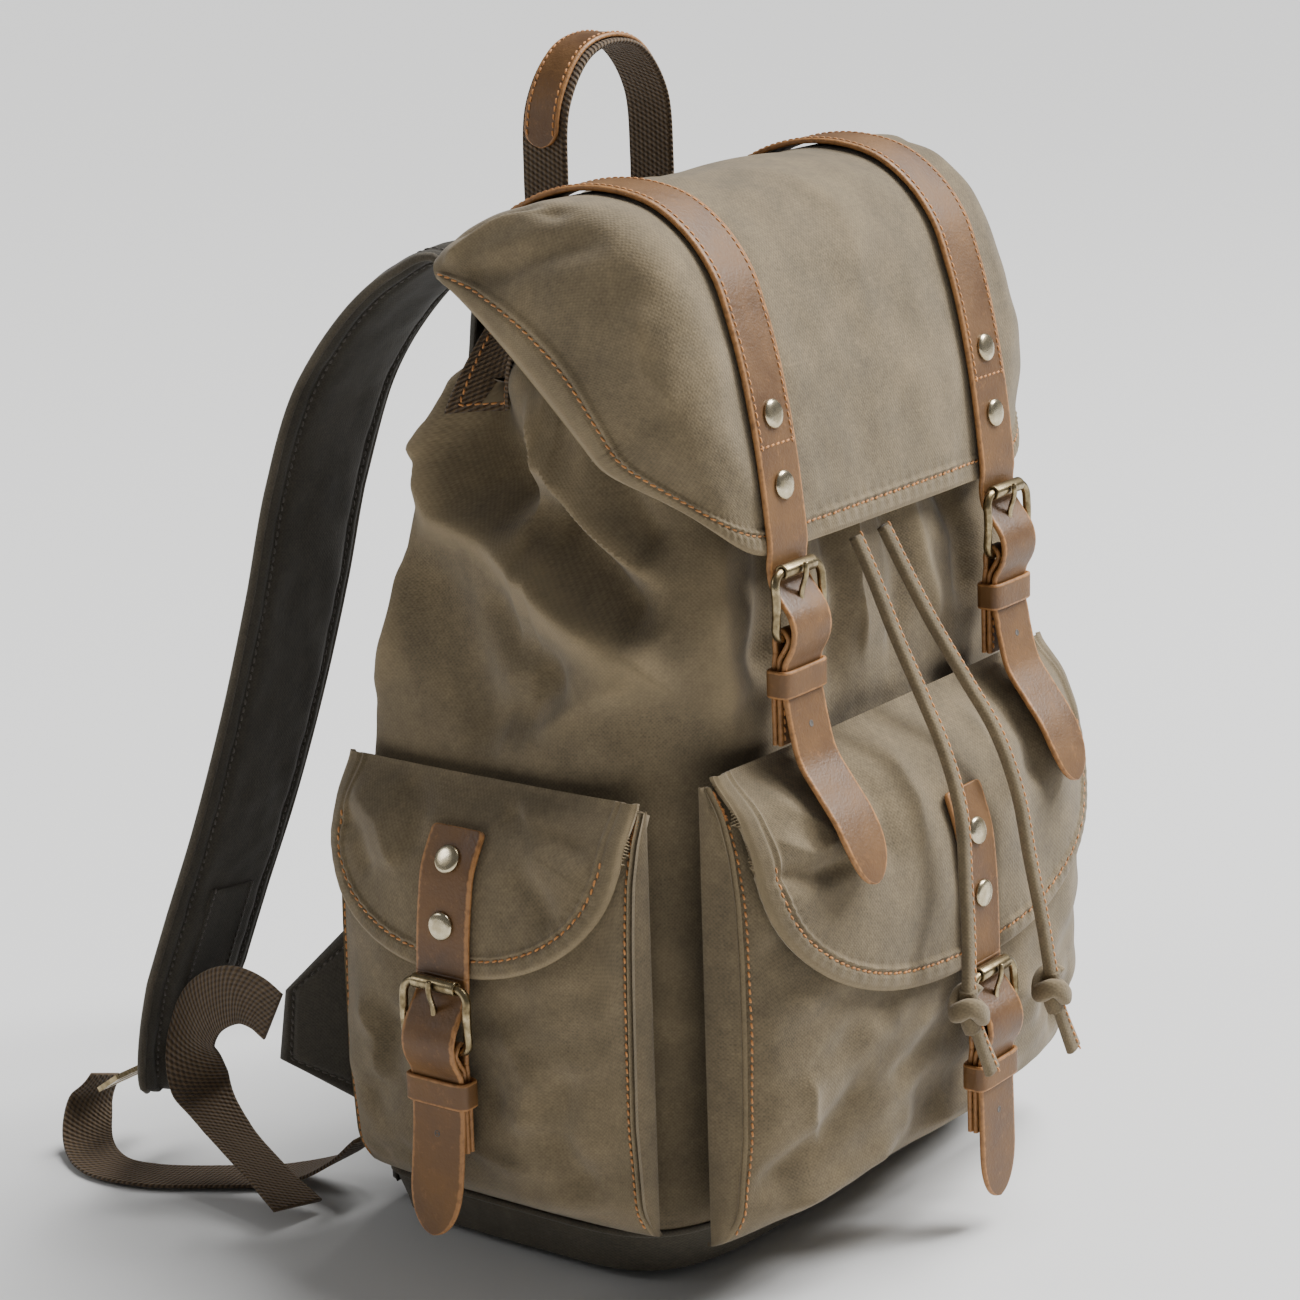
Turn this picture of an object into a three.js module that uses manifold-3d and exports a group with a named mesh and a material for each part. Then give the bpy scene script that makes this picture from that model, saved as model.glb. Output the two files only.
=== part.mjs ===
// Canvas travel backpack with leather straps, in millimetres, +Z up.
// The bag stands on its base. X runs across it, -Y is the pocket side and +Y is the wearer's side.
// Shapes that repeat on the front and on both sides are made once, facing -Y, and turned about Z.
// "Out" is the distance from the bag's middle plane towards the side that a pocket or strap faces.

import * as THREE from 'three';
import { mergeVertices } from 'three/addons/utils/BufferGeometryUtils.js';
import Module from 'manifold-3d';

const wasm = await Module();
wasm.setup();

// Driving dimensions
const GAP = 0.4;
const CANVAS = 2.6;
const LEATHER = 2.4;
const SHELL_WALL = 3;
const STRAP_HALF_WIDTH = 14;
const STRAP_X = 84;
const WIRE = 1.5;
const BUCKLE_HALF_WIDTH = 17;
const BUCKLE_DROP = 28;
const ROLLER_RADIUS = 3.2;
const WEBBING = 1.8;
const CORD_RADIUS = 3.5;

const MATERIALS = {
  canvas: { color: 0x7d7362, roughness: 0.95, metalness: 0 },
  padding: { color: 0x3f3b31, roughness: 0.95, metalness: 0 },
  leather: { color: 0x8a5a33, roughness: 0.55, metalness: 0 },
  webbing: { color: 0x5f4930, roughness: 0.9, metalness: 0 },
  brass: { color: 0x8c8266, roughness: 0.35, metalness: 1 },
};

const backpack = new THREE.Group();

function addMesh(parent, name, geometry, material) {
  const mesh = new THREE.Mesh(geometry, new THREE.MeshStandardMaterial(MATERIALS[material]));
  mesh.name = name;
  parent.add(mesh);
  return mesh;
}

// A closed surface through rings of equal length. Rings run counter-clockwise seen from the last ring.
// With loop set, the last ring joins the first; otherwise both ends are capped.
function loft(rings, loop = false) {
  const count = rings[0].length;
  const positions = rings.flat().flatMap((p) => [p.x, p.y, p.z]);
  const index = [];
  const spans = loop ? rings.length : rings.length - 1;
  for (let i = 0; i < spans; i += 1) {
    const low = i * count;
    const high = ((i + 1) % rings.length) * count;
    for (let j = 0; j < count; j += 1) {
      const next = (j + 1) % count;
      index.push(low + j, low + next, high + next, low + j, high + next, high + j);
    }
  }
  if (!loop) {
    for (const [ring, flip] of [[0, true], [rings.length - 1, false]]) {
      const centre = rings[ring].reduce((sum, p) => sum.add(p), new THREE.Vector3()).divideScalar(count);
      const hub = positions.length / 3;
      positions.push(centre.x, centre.y, centre.z);
      for (let j = 0; j < count; j += 1) {
        const a = ring * count + j;
        const b = ring * count + ((j + 1) % count);
        index.push(hub, flip ? b : a, flip ? a : b);
      }
    }
  }
  const geometry = new THREE.BufferGeometry();
  geometry.setAttribute('position', new THREE.Float32BufferAttribute(positions, 3));
  geometry.setIndex(index);
  return faceOut(geometry);
}

// Turns every face over if the surface encloses a negative volume.
function faceOut(geometry) {
  const p = geometry.attributes.position;
  const index = geometry.index.array;
  const at = (i) => new THREE.Vector3().fromBufferAttribute(p, i);
  let volume = 0;
  for (let i = 0; i < index.length; i += 3) {
    volume += at(index[i]).dot(at(index[i + 1]).cross(at(index[i + 2])));
  }
  if (volume < 0) {
    for (let i = 0; i < index.length; i += 3) {
      [index[i + 1], index[i + 2]] = [index[i + 2], index[i + 1]];
    }
  }
  return geometry;
}

function toManifold(geometry) {
  const bare = geometry.clone();
  bare.deleteAttribute('normal');
  bare.deleteAttribute('uv');
  const merged = mergeVertices(bare, 1e-4);
  return new wasm.Manifold(new wasm.Mesh({
    numProp: 3,
    vertProperties: new Float32Array(merged.attributes.position.array),
    triVerts: new Uint32Array(merged.index.array),
  }));
}

function fromManifold(solid) {
  const mesh = solid.getMesh();
  const geometry = new THREE.BufferGeometry();
  geometry.setAttribute('position', new THREE.Float32BufferAttribute(mesh.vertProperties, 3));
  geometry.setIndex([...mesh.triVerts]);
  return geometry;
}

function cut(geometry, tool) {
  return fromManifold(toManifold(geometry).subtract(toManifold(tool)));
}

function join(first, second) {
  return fromManifold(toManifold(first).add(toManifold(second)));
}

function boxAt(size, centre) {
  return new THREE.BoxGeometry(...size).translate(...centre);
}

// A smooth curve through [x, y, z] points, sampled evenly.
function smooth(points, steps) {
  const curve = new THREE.CatmullRomCurve3(points.map((p) => new THREE.Vector3(...p)), false, 'centripetal');
  return curve.getSpacedPoints(steps);
}

// Reads a height table of [z, value] pairs at any height, along a smooth line.
function readTable(table, z) {
  const last = table.length - 1;
  if (z <= table[0][0]) {
    return table[0][1];
  }
  if (z >= table[last][0]) {
    return table[last][1];
  }
  const i = table.findIndex(([height]) => height > z) - 1;
  const t = (z - table[i][0]) / (table[i + 1][0] - table[i][0]);
  return THREE.MathUtils.lerp(table[i][1], table[i + 1][1], t);
}

function tangents(points) {
  return points.map((p, i) => {
    const before = points[Math.max(i - 1, 0)];
    const after = points[Math.min(i + 1, points.length - 1)];
    return after.clone().sub(before).normalize();
  });
}

// A flat strap along a path: width is a direction at each point, given at the two ends and in between.
function ribbon(points, widthAt, halfWidthAt, thickness) {
  const along = tangents(points);
  return loft(points.map((p, i) => {
    const share = i / (points.length - 1);
    const side = widthAt(share).clone().projectOnPlane(along[i]).normalize();
    const normal = along[i].clone().cross(side).multiplyScalar(thickness / 2);
    const across = side.multiplyScalar(halfWidthAt(share));
    return [[1, 1], [-1, 1], [-1, -1], [1, -1]].map(([a, b]) => p.clone()
      .addScaledVector(across, a)
      .addScaledVector(normal, b));
  }));
}

// A round or oval bar along a path.
function bar(points, radius, sides, loop = false) {
  const along = loop
    ? points.map((p, i) => points[(i + 1) % points.length].clone().sub(points.at(i - 1)).normalize())
    : tangents(points);
  const up = new THREE.Vector3(0, 1, 0);
  return loft(points.map((p, i) => {
    const side = up.clone().projectOnPlane(along[i]).normalize();
    const other = along[i].clone().cross(side);
    return Array.from({ length: sides }, (_, k) => {
      const angle = (2 * Math.PI * k) / sides;
      return p.clone()
        .addScaledVector(side, radius * Math.cos(angle))
        .addScaledVector(other, radius * Math.sin(angle));
    });
  }), loop);
}

// One level outline of the bag or of its base: a rounded rectangle (superellipse) that may be wider behind.
function level(z, halfWidth, backHalfWidth, front, back, power = 5, sides = 28) {
  const halfDepth = (front + back) / 2;
  const middle = (back - front) / 2;
  return Array.from({ length: sides }, (_, k) => {
    const angle = (2 * Math.PI * (k + 0.5)) / sides;
    const c = Math.cos(angle);
    const s = Math.sin(angle);
    const half = THREE.MathUtils.lerp(halfWidth, backHalfWidth, (1 + s) / 2);
    return new THREE.Vector3(
      half * Math.sign(c) * Math.abs(c) ** (2 / power),
      middle + halfDepth * Math.sign(s) * Math.abs(s) ** (2 / power),
      z,
    );
  });
}

// Heights, half widths, front and back of the main compartment. Its front narrows to the gathered neck
// lower down than its back, which stays wide nearly to the top of the back panel.
const BODY_LEVELS = [
  { z: 5.4, halfWidth: 138, backHalfWidth: 138, front: 78, back: 82 },
  { z: 32, halfWidth: 148, backHalfWidth: 148, front: 90, back: 86 },
  { z: 120, halfWidth: 150, backHalfWidth: 150, front: 93, back: 86 },
  { z: 230, halfWidth: 149, backHalfWidth: 150, front: 93, back: 79 },
  { z: 290, halfWidth: 141, backHalfWidth: 150, front: 96, back: 67 },
  { z: 325, halfWidth: 113, backHalfWidth: 146, front: 86, back: 58 },
  { z: 380, halfWidth: 109, backHalfWidth: 138, front: 78, back: 46 },
  { z: 430, halfWidth: 96, backHalfWidth: 96, front: 54, back: 27 },
];

function bodyShell() {
  const outer = BODY_LEVELS.map((l) => level(l.z, l.halfWidth, l.backHalfWidth, l.front, l.back));
  const inner = BODY_LEVELS.map((l) => level(
    l.z,
    l.halfWidth - SHELL_WALL,
    l.backHalfWidth - SHELL_WALL,
    l.front - SHELL_WALL,
    l.back - SHELL_WALL,
  ));
  return loft([...outer, ...inner.reverse()], true);
}

function basePanel() {
  return loft([level(0, 134, 134, 74, 80), level(5, 138, 138, 78, 82)]);
}

// The wearer's side: a padded panel that leans with the back of the bag.
function backPad() {
  const rows = [[12, 87], [120, 87], [230, 80], [290, 68], [335, 57], [380, 48], [424, 42]];
  const thickness = 9;
  return loft(rows.map(([z, y]) => {
    const half = z > 350 ? 96 : 128;
    return [[-half, y + 0.6], [half, y + 0.6], [half - 6, y + thickness], [-half + 6, y + thickness]]
      .map(([x, depth]) => new THREE.Vector3(x, depth, z));
  }));
}

// Pocket pouches. depth is how far the pouch stands out at each height from its flat back.
const FRONT_POCKET = {
  back: 95,
  halfWidth: 141,
  power: 4,
  floor: 28,
  rim: 212,
  depth: [[28, 22], [45, 36], [80, 45], [124, 47], [160, 46], [185, 43], [205, 36], [222, 24], [236, 3]],
  hinge: { out: 98, z: 237 },
  lidTop: 237,
  lidFoot: 124,
  lidFull: 0.4,
  lidFootShare: 0.4,
};

const SIDE_POCKET = {
  back: 151.5,
  halfWidth: 82,
  power: 4,
  floor: 34,
  rim: 204,
  depth: [[34, 14], [50, 30], [90, 38], [147, 36], [173, 34], [195, 30], [212, 20], [227, 3]],
  hinge: { out: 154, z: 228 },
  lidTop: 228,
  lidFoot: 150,
  lidFull: 0.35,
  lidFootShare: 0.4,
};

function pouchOut(pocket, x, z, grow) {
  const share = Math.min(Math.abs(x) / (pocket.halfWidth + grow), 1);
  const depth = readTable(pocket.depth, z) + grow;
  return pocket.back + depth * (1 - share ** pocket.power) ** (1 / pocket.power);
}

function pouchRing(pocket, z, wall) {
  const steps = 12;
  const front = Array.from({ length: steps + 1 }, (_, k) => {
    const angle = (Math.PI * k) / steps;
    const x = -Math.cos(angle) * (pocket.halfWidth - wall);
    return new THREE.Vector3(x, -Math.max(pouchOut(pocket, x, z, -wall), pocket.back + wall), z);
  });
  return front;
}

// An open pouch: outside up to the rim, over it, and down the inside to the pocket's floor.
function pouch(pocket) {
  const slack = 3.4;
  const heights = [pocket.floor, 45, 62, 90, 124, 160, 185, pocket.rim].filter((z) => z <= pocket.rim);
  const outer = heights.map((z) => backed(pouchRing(pocket, z, slack), pocket.back));
  const inner = heights.map((z) => backed(
    pouchRing(pocket, Math.max(z, pocket.floor + CANVAS), slack + CANVAS),
    pocket.back + CANVAS,
  )).reverse();
  return loft([...outer, ...inner]);
}

// Closes a pouch outline with its flat back.
function backed(front, back) {
  const first = front[0];
  const last = front.at(-1);
  return [...front, new THREE.Vector3(last.x, -back, last.z), new THREE.Vector3(first.x, -back, first.z)];
}

// A sheet with thickness over a grid of points. grid[i][j] runs across in j; it is thickened both ways.
function sheet(grid, thickness) {
  const rows = grid.length;
  const columns = grid[0].length;
  const normals = grid.map((row, i) => row.map((p, j) => {
    const down = grid[Math.min(i + 1, rows - 1)][j].clone().sub(grid[Math.max(i - 1, 0)][j]);
    const across = row[Math.min(j + 1, columns - 1)].clone().sub(row[Math.max(j - 1, 0)]);
    return across.cross(down).normalize();
  }));
  return loft(grid.map((row, i) => [
    ...row.map((p, j) => p.clone().addScaledVector(normals[i][j], thickness / 2)),
    ...row.map((p, j) => p.clone().addScaledVector(normals[i][j], -thickness / 2)).reverse(),
  ]));
}

// A pocket lid follows the pouch and rounds off to a narrower front edge.
function lid(pocket) {
  const rows = 8;
  const columns = 10;
  const clearance = CANVAS / 2;
  const grid = Array.from({ length: rows + 1 }, (_, i) => {
    const share = i / rows;
    const z = THREE.MathUtils.lerp(pocket.lidTop, pocket.lidFoot, share ** 1.6);
    const fall = Math.max(share - pocket.lidFull, 0) / (1 - pocket.lidFull);
    const half = pocket.halfWidth * 0.94 * (1 - (1 - pocket.lidFootShare) * fall ** 2.6);
    return Array.from({ length: columns + 1 }, (__, j) => {
      const x = half * ((2 * j) / columns - 1);
      return new THREE.Vector3(x, -pouchOut(pocket, x, z, clearance) - GAP, z);
    });
  });
  return sheet(grid, CANVAS);
}

// The top flap: its middle line from the hinge over the top and down the front, and its lower side edge.
const FLAP_LINE = [[33, 443], [28, 449], [14, 457], [-4, 463], [-26, 465], [-52, 459], [-74, 440],
  [-86, 412], [-94, 380], [-99, 350], [-102, 322]];
const FLAP_SIDE_EDGE = { back: [28, 434], front: [-82, 331] };

function flapPoint(across, share) {
  const line = flapMiddle.getPointAt(share);
  const front = THREE.MathUtils.smoothstep(share, 0.72, 1);
  const shoulder = THREE.MathUtils.lerp(112, 92, front);
  const reach = THREE.MathUtils.lerp(143, 122, front);
  const edgeX = THREE.MathUtils.lerp(140, 118, front);
  const edgeY = THREE.MathUtils.lerp(FLAP_SIDE_EDGE.back[0], FLAP_SIDE_EDGE.front[0], share);
  const edgeZ = THREE.MathUtils.lerp(FLAP_SIDE_EDGE.back[1], FLAP_SIDE_EDGE.front[1], share ** 1.15);
  const size = Math.abs(across);
  const side = Math.sign(across);
  const flat = 0.55;
  if (size <= flat) {
    return new THREE.Vector3((side * shoulder * size) / flat, line.y, line.z);
  }
  const t = (size - flat) / (1 - flat);
  const a = (1 - t) ** 2;
  const b = 2 * t * (1 - t);
  const c = t ** 2;
  return new THREE.Vector3(
    side * (a * shoulder + b * reach + c * edgeX),
    a * line.y + b * line.y + c * edgeY,
    a * line.z + b * line.z + c * edgeZ,
  );
}

const flapMiddle = new THREE.CatmullRomCurve3(
  FLAP_LINE.map(([y, z]) => new THREE.Vector3(0, y, z)),
  false,
  'centripetal',
);

function topFlap() {
  const rows = 16;
  const columns = 14;
  return sheet(Array.from({ length: rows + 1 }, (_, i) => Array.from(
    { length: columns + 1 },
    (__, j) => flapPoint((2 * j) / columns - 1, i / rows),
  )), CANVAS);
}

// Straps, buckles and their leather, in a frame with its origin at the buckle's upper bar.
// A path is a list of [out, z] pairs. across is X.
function strapRibbon(path, halfWidthAt, thickness, steps) {
  const points = smooth(path.map(([out, z]) => [0, -out, z]), steps);
  return ribbon(points, () => new THREE.Vector3(1, 0, 0), halfWidthAt, thickness);
}

// Where the strap goes behind the roller, comes out over the fixed bar and lies down the front.
const THREADED = [[-4.9, 4], [-4.9, 0], [-3.6, -6], [0.6, -12], [5, -18], [6.8, -24],
  [6.3, -29.5], [4.7, -33.5], [2.2, -38], [1.4, -42], [1.4, -46]];
const TONGUE_HOLE = { size: [5.4, 18, 20], centre: [0, 0, -13] };

// Half the width of a strap whose last stretch, tipShare of its length, narrows to a rounded tip.
function taper(share, tipShare) {
  const past = Math.min(Math.max(share - 1 + tipShare, 0) / Math.max(tipShare, 1e-6), 1);
  return 4 + (STRAP_HALF_WIDTH - 4) * Math.sqrt(1 - past ** 2);
}

function buckledStrap(pathAbove, pathBelow, tipShare) {
  const path = [...pathAbove, ...THREADED, ...pathBelow];
  const solid = strapRibbon(path, (share) => taper(share, tipShare), LEATHER, 44);
  return cut(solid, boxAt(TONGUE_HOLE.size, TONGUE_HOLE.centre));
}

// The folded leather that holds the fixed bar, with the keeper sewn round it and the strap.
function chape() {
  const path = [[-4.4, -74], [-4.4, -44], [-3.4, -34], [-3.3, -28], [0, -24.4], [3.4, -28], [1.5, -32.5],
    [-1.2, -37], [-1.6, -41], [-1.6, -74]];
  const leaf = strapRibbon(path, () => STRAP_HALF_WIDTH - 1, 2.2, 36);
  const slotted = cut(leaf, boxAt([6.4, 9, 12], [0, -0.9, -28]));
  const low = -53;
  const high = -41;
  const ring = [[-14.6, -5.3], [14.6, -5.3], [14.6, 3.1], [-14.6, 3.1]];
  const outer = [[-16.4, -7.1], [16.4, -7.1], [16.4, 4.9], [-16.4, 4.9]];
  const at = (corners, z) => corners.map(([x, out]) => new THREE.Vector3(x, -out, z));
  const keeper = loft([at(outer, low), at(outer, high), at(ring, high), at(ring, low)], true);
  return join(slotted, keeper);
}

// A closed wire loop with rounded corners, standing in the plane of the strap.
function buckleFrame() {
  const corner = 5;
  const centres = [
    [BUCKLE_HALF_WIDTH - corner, -corner, 0],
    [corner - BUCKLE_HALF_WIDTH, -corner, 90],
    [corner - BUCKLE_HALF_WIDTH, corner - BUCKLE_DROP, 180],
    [BUCKLE_HALF_WIDTH - corner, corner - BUCKLE_DROP, 270],
  ];
  const turns = 2;
  const points = centres.flatMap(([x, z, start]) => Array.from({ length: turns + 1 }, (_, k) => {
    const angle = THREE.MathUtils.degToRad(start + (90 * k) / turns);
    return new THREE.Vector3(x + corner * Math.cos(angle), 0, z + corner * Math.sin(angle));
  }));
  return bar(points, WIRE, 6, true);
}

function hollowRoll(inner, outer, length) {
  const half = length / 2;
  const profile = [[inner, -half], [outer, -half], [outer, half], [inner, half], [inner, -half]];
  return new THREE.LatheGeometry(profile.map(([r, h]) => new THREE.Vector2(r, h)), 12).rotateZ(Math.PI / 2);
}

// The tongue turns on the fixed bar and its tip rests on the roller.
function tongue() {
  const eye = hollowRoll(1.9, 3.1, 4).translate(0, 0, -BUCKLE_DROP);
  const finger = ribbon(
    smooth([[0, -2.6, -BUCKLE_DROP + 1], [0, -2.2, -18], [0, -2.4, -10], [0, -4.9, -3], [0, -4.9, 3]], 10),
    () => new THREE.Vector3(1, 0, 0),
    (share) => 1.7 - 0.6 * share,
    2,
  );
  return join(fromManifold(toManifold(eye)), finger);
}

function rivet() {
  const profile = [[0, -0.2], [6.1, -0.2], [6.1, 0.8], [3.6, 2.1], [0, 2.3]];
  return new THREE.LatheGeometry(profile.map(([r, h]) => new THREE.Vector2(r, h)), 12);
}

// Lies a rivet on the strap at one height: its base sits just off the leather.
function rivetOnPath(path, z) {
  const points = smooth(path.map(([out, height]) => [0, -out, height]), 80);
  const along = tangents(points);
  const i = points.findIndex((p) => p.z < z);
  const normal = along[i].clone().cross(new THREE.Vector3(1, 0, 0)).normalize();
  if (normal.y > 0) {
    normal.negate();
  }
  const turn = new THREE.Quaternion().setFromUnitVectors(new THREE.Vector3(0, 1, 0), normal);
  const place = points[i].clone().addScaledVector(normal, LEATHER / 2 + 0.2 + GAP);
  return rivet().applyQuaternion(turn).translate(place.x, place.y, place.z);
}

// Builds one strap with its buckle. origin is the upper bar's [out, z]; turn is about Z, in degrees.
function strapSet(label, { x, turn, bar: [out, z], above, below, tipShare, rivets }) {
  const set = new THREE.Group();
  set.rotation.z = THREE.MathUtils.degToRad(turn);
  const buckle = new THREE.Group();
  buckle.position.set(x, -out, z);
  set.add(buckle);
  backpack.add(set);
  const local = above.map(([o, height]) => [o - out, height - z]);
  addMesh(buckle, `${label}_strap`, buckledStrap(local, below, tipShare), 'leather');
  addMesh(buckle, `${label}_chape`, chape(), 'leather');
  addMesh(buckle, `${label}_buckle_frame`, buckleFrame(), 'brass');
  const rollerLength = 2 * (BUCKLE_HALF_WIDTH - 5) - 1;
  addMesh(buckle, `${label}_buckle_roller`, hollowRoll(WIRE + 0.4, ROLLER_RADIUS, rollerLength), 'brass');
  addMesh(buckle, `${label}_buckle_tongue`, tongue(), 'brass');
  rivets.forEach(([name, height]) => {
    addMesh(buckle, name, rivetOnPath([...local, ...THREADED], height - z), 'brass');
  });
  return buckle;
}

// The middle of a leather strap that lies on a lid, as [out, z] pairs from just under the hinge.
function overLid(pocket, from) {
  const heights = [0, 0.1, 0.25, 0.45, 0.7, 1].map((t) => THREE.MathUtils.lerp(from, pocket.lidFoot - 1, t));
  const lift = CANVAS * 1.5 + 2 * GAP + LEATHER / 2;
  return heights.map((z) => [pouchOut(pocket, 0, z, lift - 1), z]);
}

function overFlap() {
  const lift = CANVAS / 2 + 2 * GAP + LEATHER / 2;
  const shares = Array.from({ length: 13 }, (_, i) => 0.06 + (0.93 * i) / 12);
  return shares.map((share) => {
    const p = flapMiddle.getPointAt(share);
    const t = flapMiddle.getTangentAt(share);
    return [-(p.y + t.z * lift), p.z - t.y * lift];
  });
}

const MAIN_BAR = [109.4, 316];
const MAIN_TAIL = [[2.6, -55], [4.4, -66], [8.5, -80], [17, -92], [26, -104], [33, -118], [37, -131]];

function mainStraps() {
  for (const [side, sign] of [['left', -1], ['right', 1]]) {
    const buckle = strapSet(`flap_${side}`, {
      x: sign * STRAP_X,
      turn: 0,
      bar: MAIN_BAR,
      above: overFlap(),
      below: [[1.6, -52.6]],
      tipShare: 0,
      rivets: [[`flap_${side}_rivet_upper`, 379], [`flap_${side}_rivet_lower`, 350]],
    });
    const tail = strapRibbon(MAIN_TAIL, (share) => taper(share, 0.3), LEATHER, 14);
    addMesh(buckle, `flap_${side}_strap_tail`, tail, 'leather');
  }
}

function pocketStraps() {
  const frontAbove = overLid(FRONT_POCKET, 203);
  strapSet('front', {
    x: 0,
    turn: 0,
    bar: [frontAbove.at(-1)[0] + 4.9, 122],
    above: frontAbove,
    below: [[1.8, -60], [2.4, -80], [3, -107]],
    tipShare: 0.16,
    rivets: [['front_rivet_upper', 184], ['front_rivet_lower', 156]],
  });
  for (const [side, turn] of [['left', -90], ['right', 90]]) {
    const above = overLid(SIDE_POCKET, 211);
    strapSet(`side_${side}`, {
      x: 0,
      turn,
      bar: [above.at(-1)[0] + 4.9, 148],
      above,
      below: [[1.8, -60], [4, -80], [9, -110]],
      tipShare: 0.16,
      rivets: [[`side_${side}_rivet_upper`, 199]],
    });
  }
}

function pockets() {
  addMesh(backpack, 'front_pocket', pouch(FRONT_POCKET), 'canvas');
  addMesh(backpack, 'front_lid', lid(FRONT_POCKET), 'canvas');
  for (const [side, turn] of [['left', -90], ['right', 90]]) {
    const group = new THREE.Group();
    group.rotation.z = THREE.MathUtils.degToRad(turn);
    addMesh(group, `side_${side}_pocket`, pouch(SIDE_POCKET), 'canvas');
    addMesh(group, `side_${side}_lid`, lid(SIDE_POCKET), 'canvas');
    backpack.add(group);
  }
}

// The grab handle: a webbing arch with a leather grip sewn over its crown.
function handle() {
  const arch = smooth([[-38, 49, 434], [-39, 49, 462], [-36, 49, 492], [-20, 49, 512], [0, 49, 517],
    [20, 49, 512], [36, 49, 492], [39, 49, 462], [38, 49, 434]], 26);
  const acrossY = () => new THREE.Vector3(0, 1, 0);
  const halfWidth = 12;
  addMesh(backpack, 'handle_webbing', ribbon(arch, acrossY, () => halfWidth, 2.6), 'webbing');
  const lift = 1.3 + GAP + 1.1;
  const along = tangents(arch);
  const grip = arch.slice(5, -5).map((p, i) => {
    const out = along[i + 5].clone().cross(new THREE.Vector3(0, 1, 0)).normalize();
    return p.clone().addScaledVector(out, -lift);
  });
  addMesh(backpack, 'handle_grip', ribbon(grip, acrossY, () => halfWidth - 3, 2.2), 'leather');
}

// Shoulder straps: padded, rising from the top of the back and falling behind the bag.
const PAD_PATH = [[52, 68, 421], [54, 80, 430], [60, 100, 420], [68, 120, 400], [76, 138, 370], [88, 148, 326],
  [98, 155, 276], [108, 164, 226], [118, 177, 173], [126, 193, 124], [132, 208, 78], [136, 220, 36]];
const PAD_HALF_WIDTH = 33;
const PAD_THICKNESS = 11;

// The strap's webbing: from the slider down to the floor, along it and up to the bag's lower corner.
const STRAP_WEBBING = [[140, 259, 33], [146, 264, 20], [158, 256, 7], [170, 234, 3], [168, 208, 2.8],
  [152, 178, 2.8], [134, 150, 4], [128, 122, 16], [127, 104, 32]];
const STRAP_WEBBING_SIDES = [[1, 0, 0], [0.9, 0.4, 0.1], [0.7, 0.7, 0], [1, 0.1, 0], [0.9, -0.5, 0],
  [0.8, -0.6, 0], [0.9, -0.4, 0], [1, 0, 0], [1, 0, 0]];

// Waist belt: a padded wing at each lower corner of the back, and a loose end of webbing.
const BELT_WEBBING = [[152, 136, 91], [152, 146, 96], [152, 160, 97], [151, 180, 86], [150, 190, 68],
  [151, 186, 48], [154, 168, 31], [159, 142, 18], [165, 116, 8]];
const BELT_WEBBING_SIDES = [[0, 0.3, 1], [0, 0.2, 1], [0, 0, 1], [0, 0.6, 0.9], [0.3, 0.7, 0.5],
  [0.7, 0.5, 0.4], [1, 0.2, 0.3], [1, 0, 0.2], [1, 0.1, 0.1]];

function mirrored(points, sign) {
  return points.map(([x, y, z]) => [sign * x, y, z]);
}

function directionAt(list, sign) {
  const vectors = mirrored(list, sign).map((v) => new THREE.Vector3(...v));
  return (share) => {
    const at = share * (vectors.length - 1);
    const i = Math.min(Math.floor(at), vectors.length - 2);
    return vectors[i].clone().lerp(vectors[i + 1], at - i);
  };
}

function shoulderPad(sign) {
  const points = smooth(mirrored(PAD_PATH, sign), 22);
  const acrossX = new THREE.Vector3(1, 0, 0);
  const along = tangents(points);
  return loft(points.map((p, i) => {
    const left = (points.length - 1 - i) / 3;
    const half = left >= 1 ? PAD_HALF_WIDTH : PAD_HALF_WIDTH * (0.55 + 0.45 * Math.sqrt(left));
    const side = acrossX.clone().projectOnPlane(along[i]).normalize();
    const normal = along[i].clone().cross(side);
    const flat = half - PAD_THICKNESS / 2;
    const outline = [[flat, 1], [-flat, 1], [-half, 0], [-flat, -1], [flat, -1], [half, 0]];
    return outline.map(([a, b]) => p.clone()
      .addScaledVector(side, a)
      .addScaledVector(normal, (b * PAD_THICKNESS) / 2));
  }));
}

// A flat metal slider with a middle bar, held at the pad's foot.
function slider(sign) {
  const plate = boxAt([32, 16, 2.4], [0, 0, 0]);
  const windows = [-3.9, 3.9].map((y) => boxAt([26, 4.2, 6], [0, y, 0]));
  const slotted = windows.reduce((solid, window) => cut(solid, window), plate);
  return slotted.rotateX(THREE.MathUtils.degToRad(-35)).translate(sign * 138, 244, 36);
}

function beltWing(sign) {
  const corners = [[130, 98, 142], [130, 98, 50], [149, 134, 72], [149, 128, 106]];
  const ring = (shift) => corners.map(([x, y, z]) => new THREE.Vector3(sign * (x + shift), y - shift / 3, z));
  return loft([ring(0), ring(7)]);
}

function carrying() {
  for (const [side, sign] of [['left', -1], ['right', 1]]) {
    addMesh(backpack, `shoulder_${side}_pad`, shoulderPad(sign), 'padding');
    addMesh(backpack, `shoulder_${side}_slider`, slider(sign), 'brass');
    const webbing = smooth(mirrored(STRAP_WEBBING, sign), 26);
    const webbingSides = directionAt(STRAP_WEBBING_SIDES, sign);
    addMesh(backpack, `shoulder_${side}_webbing`, ribbon(webbing, webbingSides, () => 12, WEBBING), 'webbing');
    addMesh(backpack, `belt_${side}_wing`, beltWing(sign), 'padding');
    const belt = smooth(mirrored(BELT_WEBBING, sign), 26);
    const beltSides = directionAt(BELT_WEBBING_SIDES, sign);
    addMesh(backpack, `belt_${side}_webbing`, ribbon(belt, beltSides, () => 14, WEBBING), 'webbing');
  }
}

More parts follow.
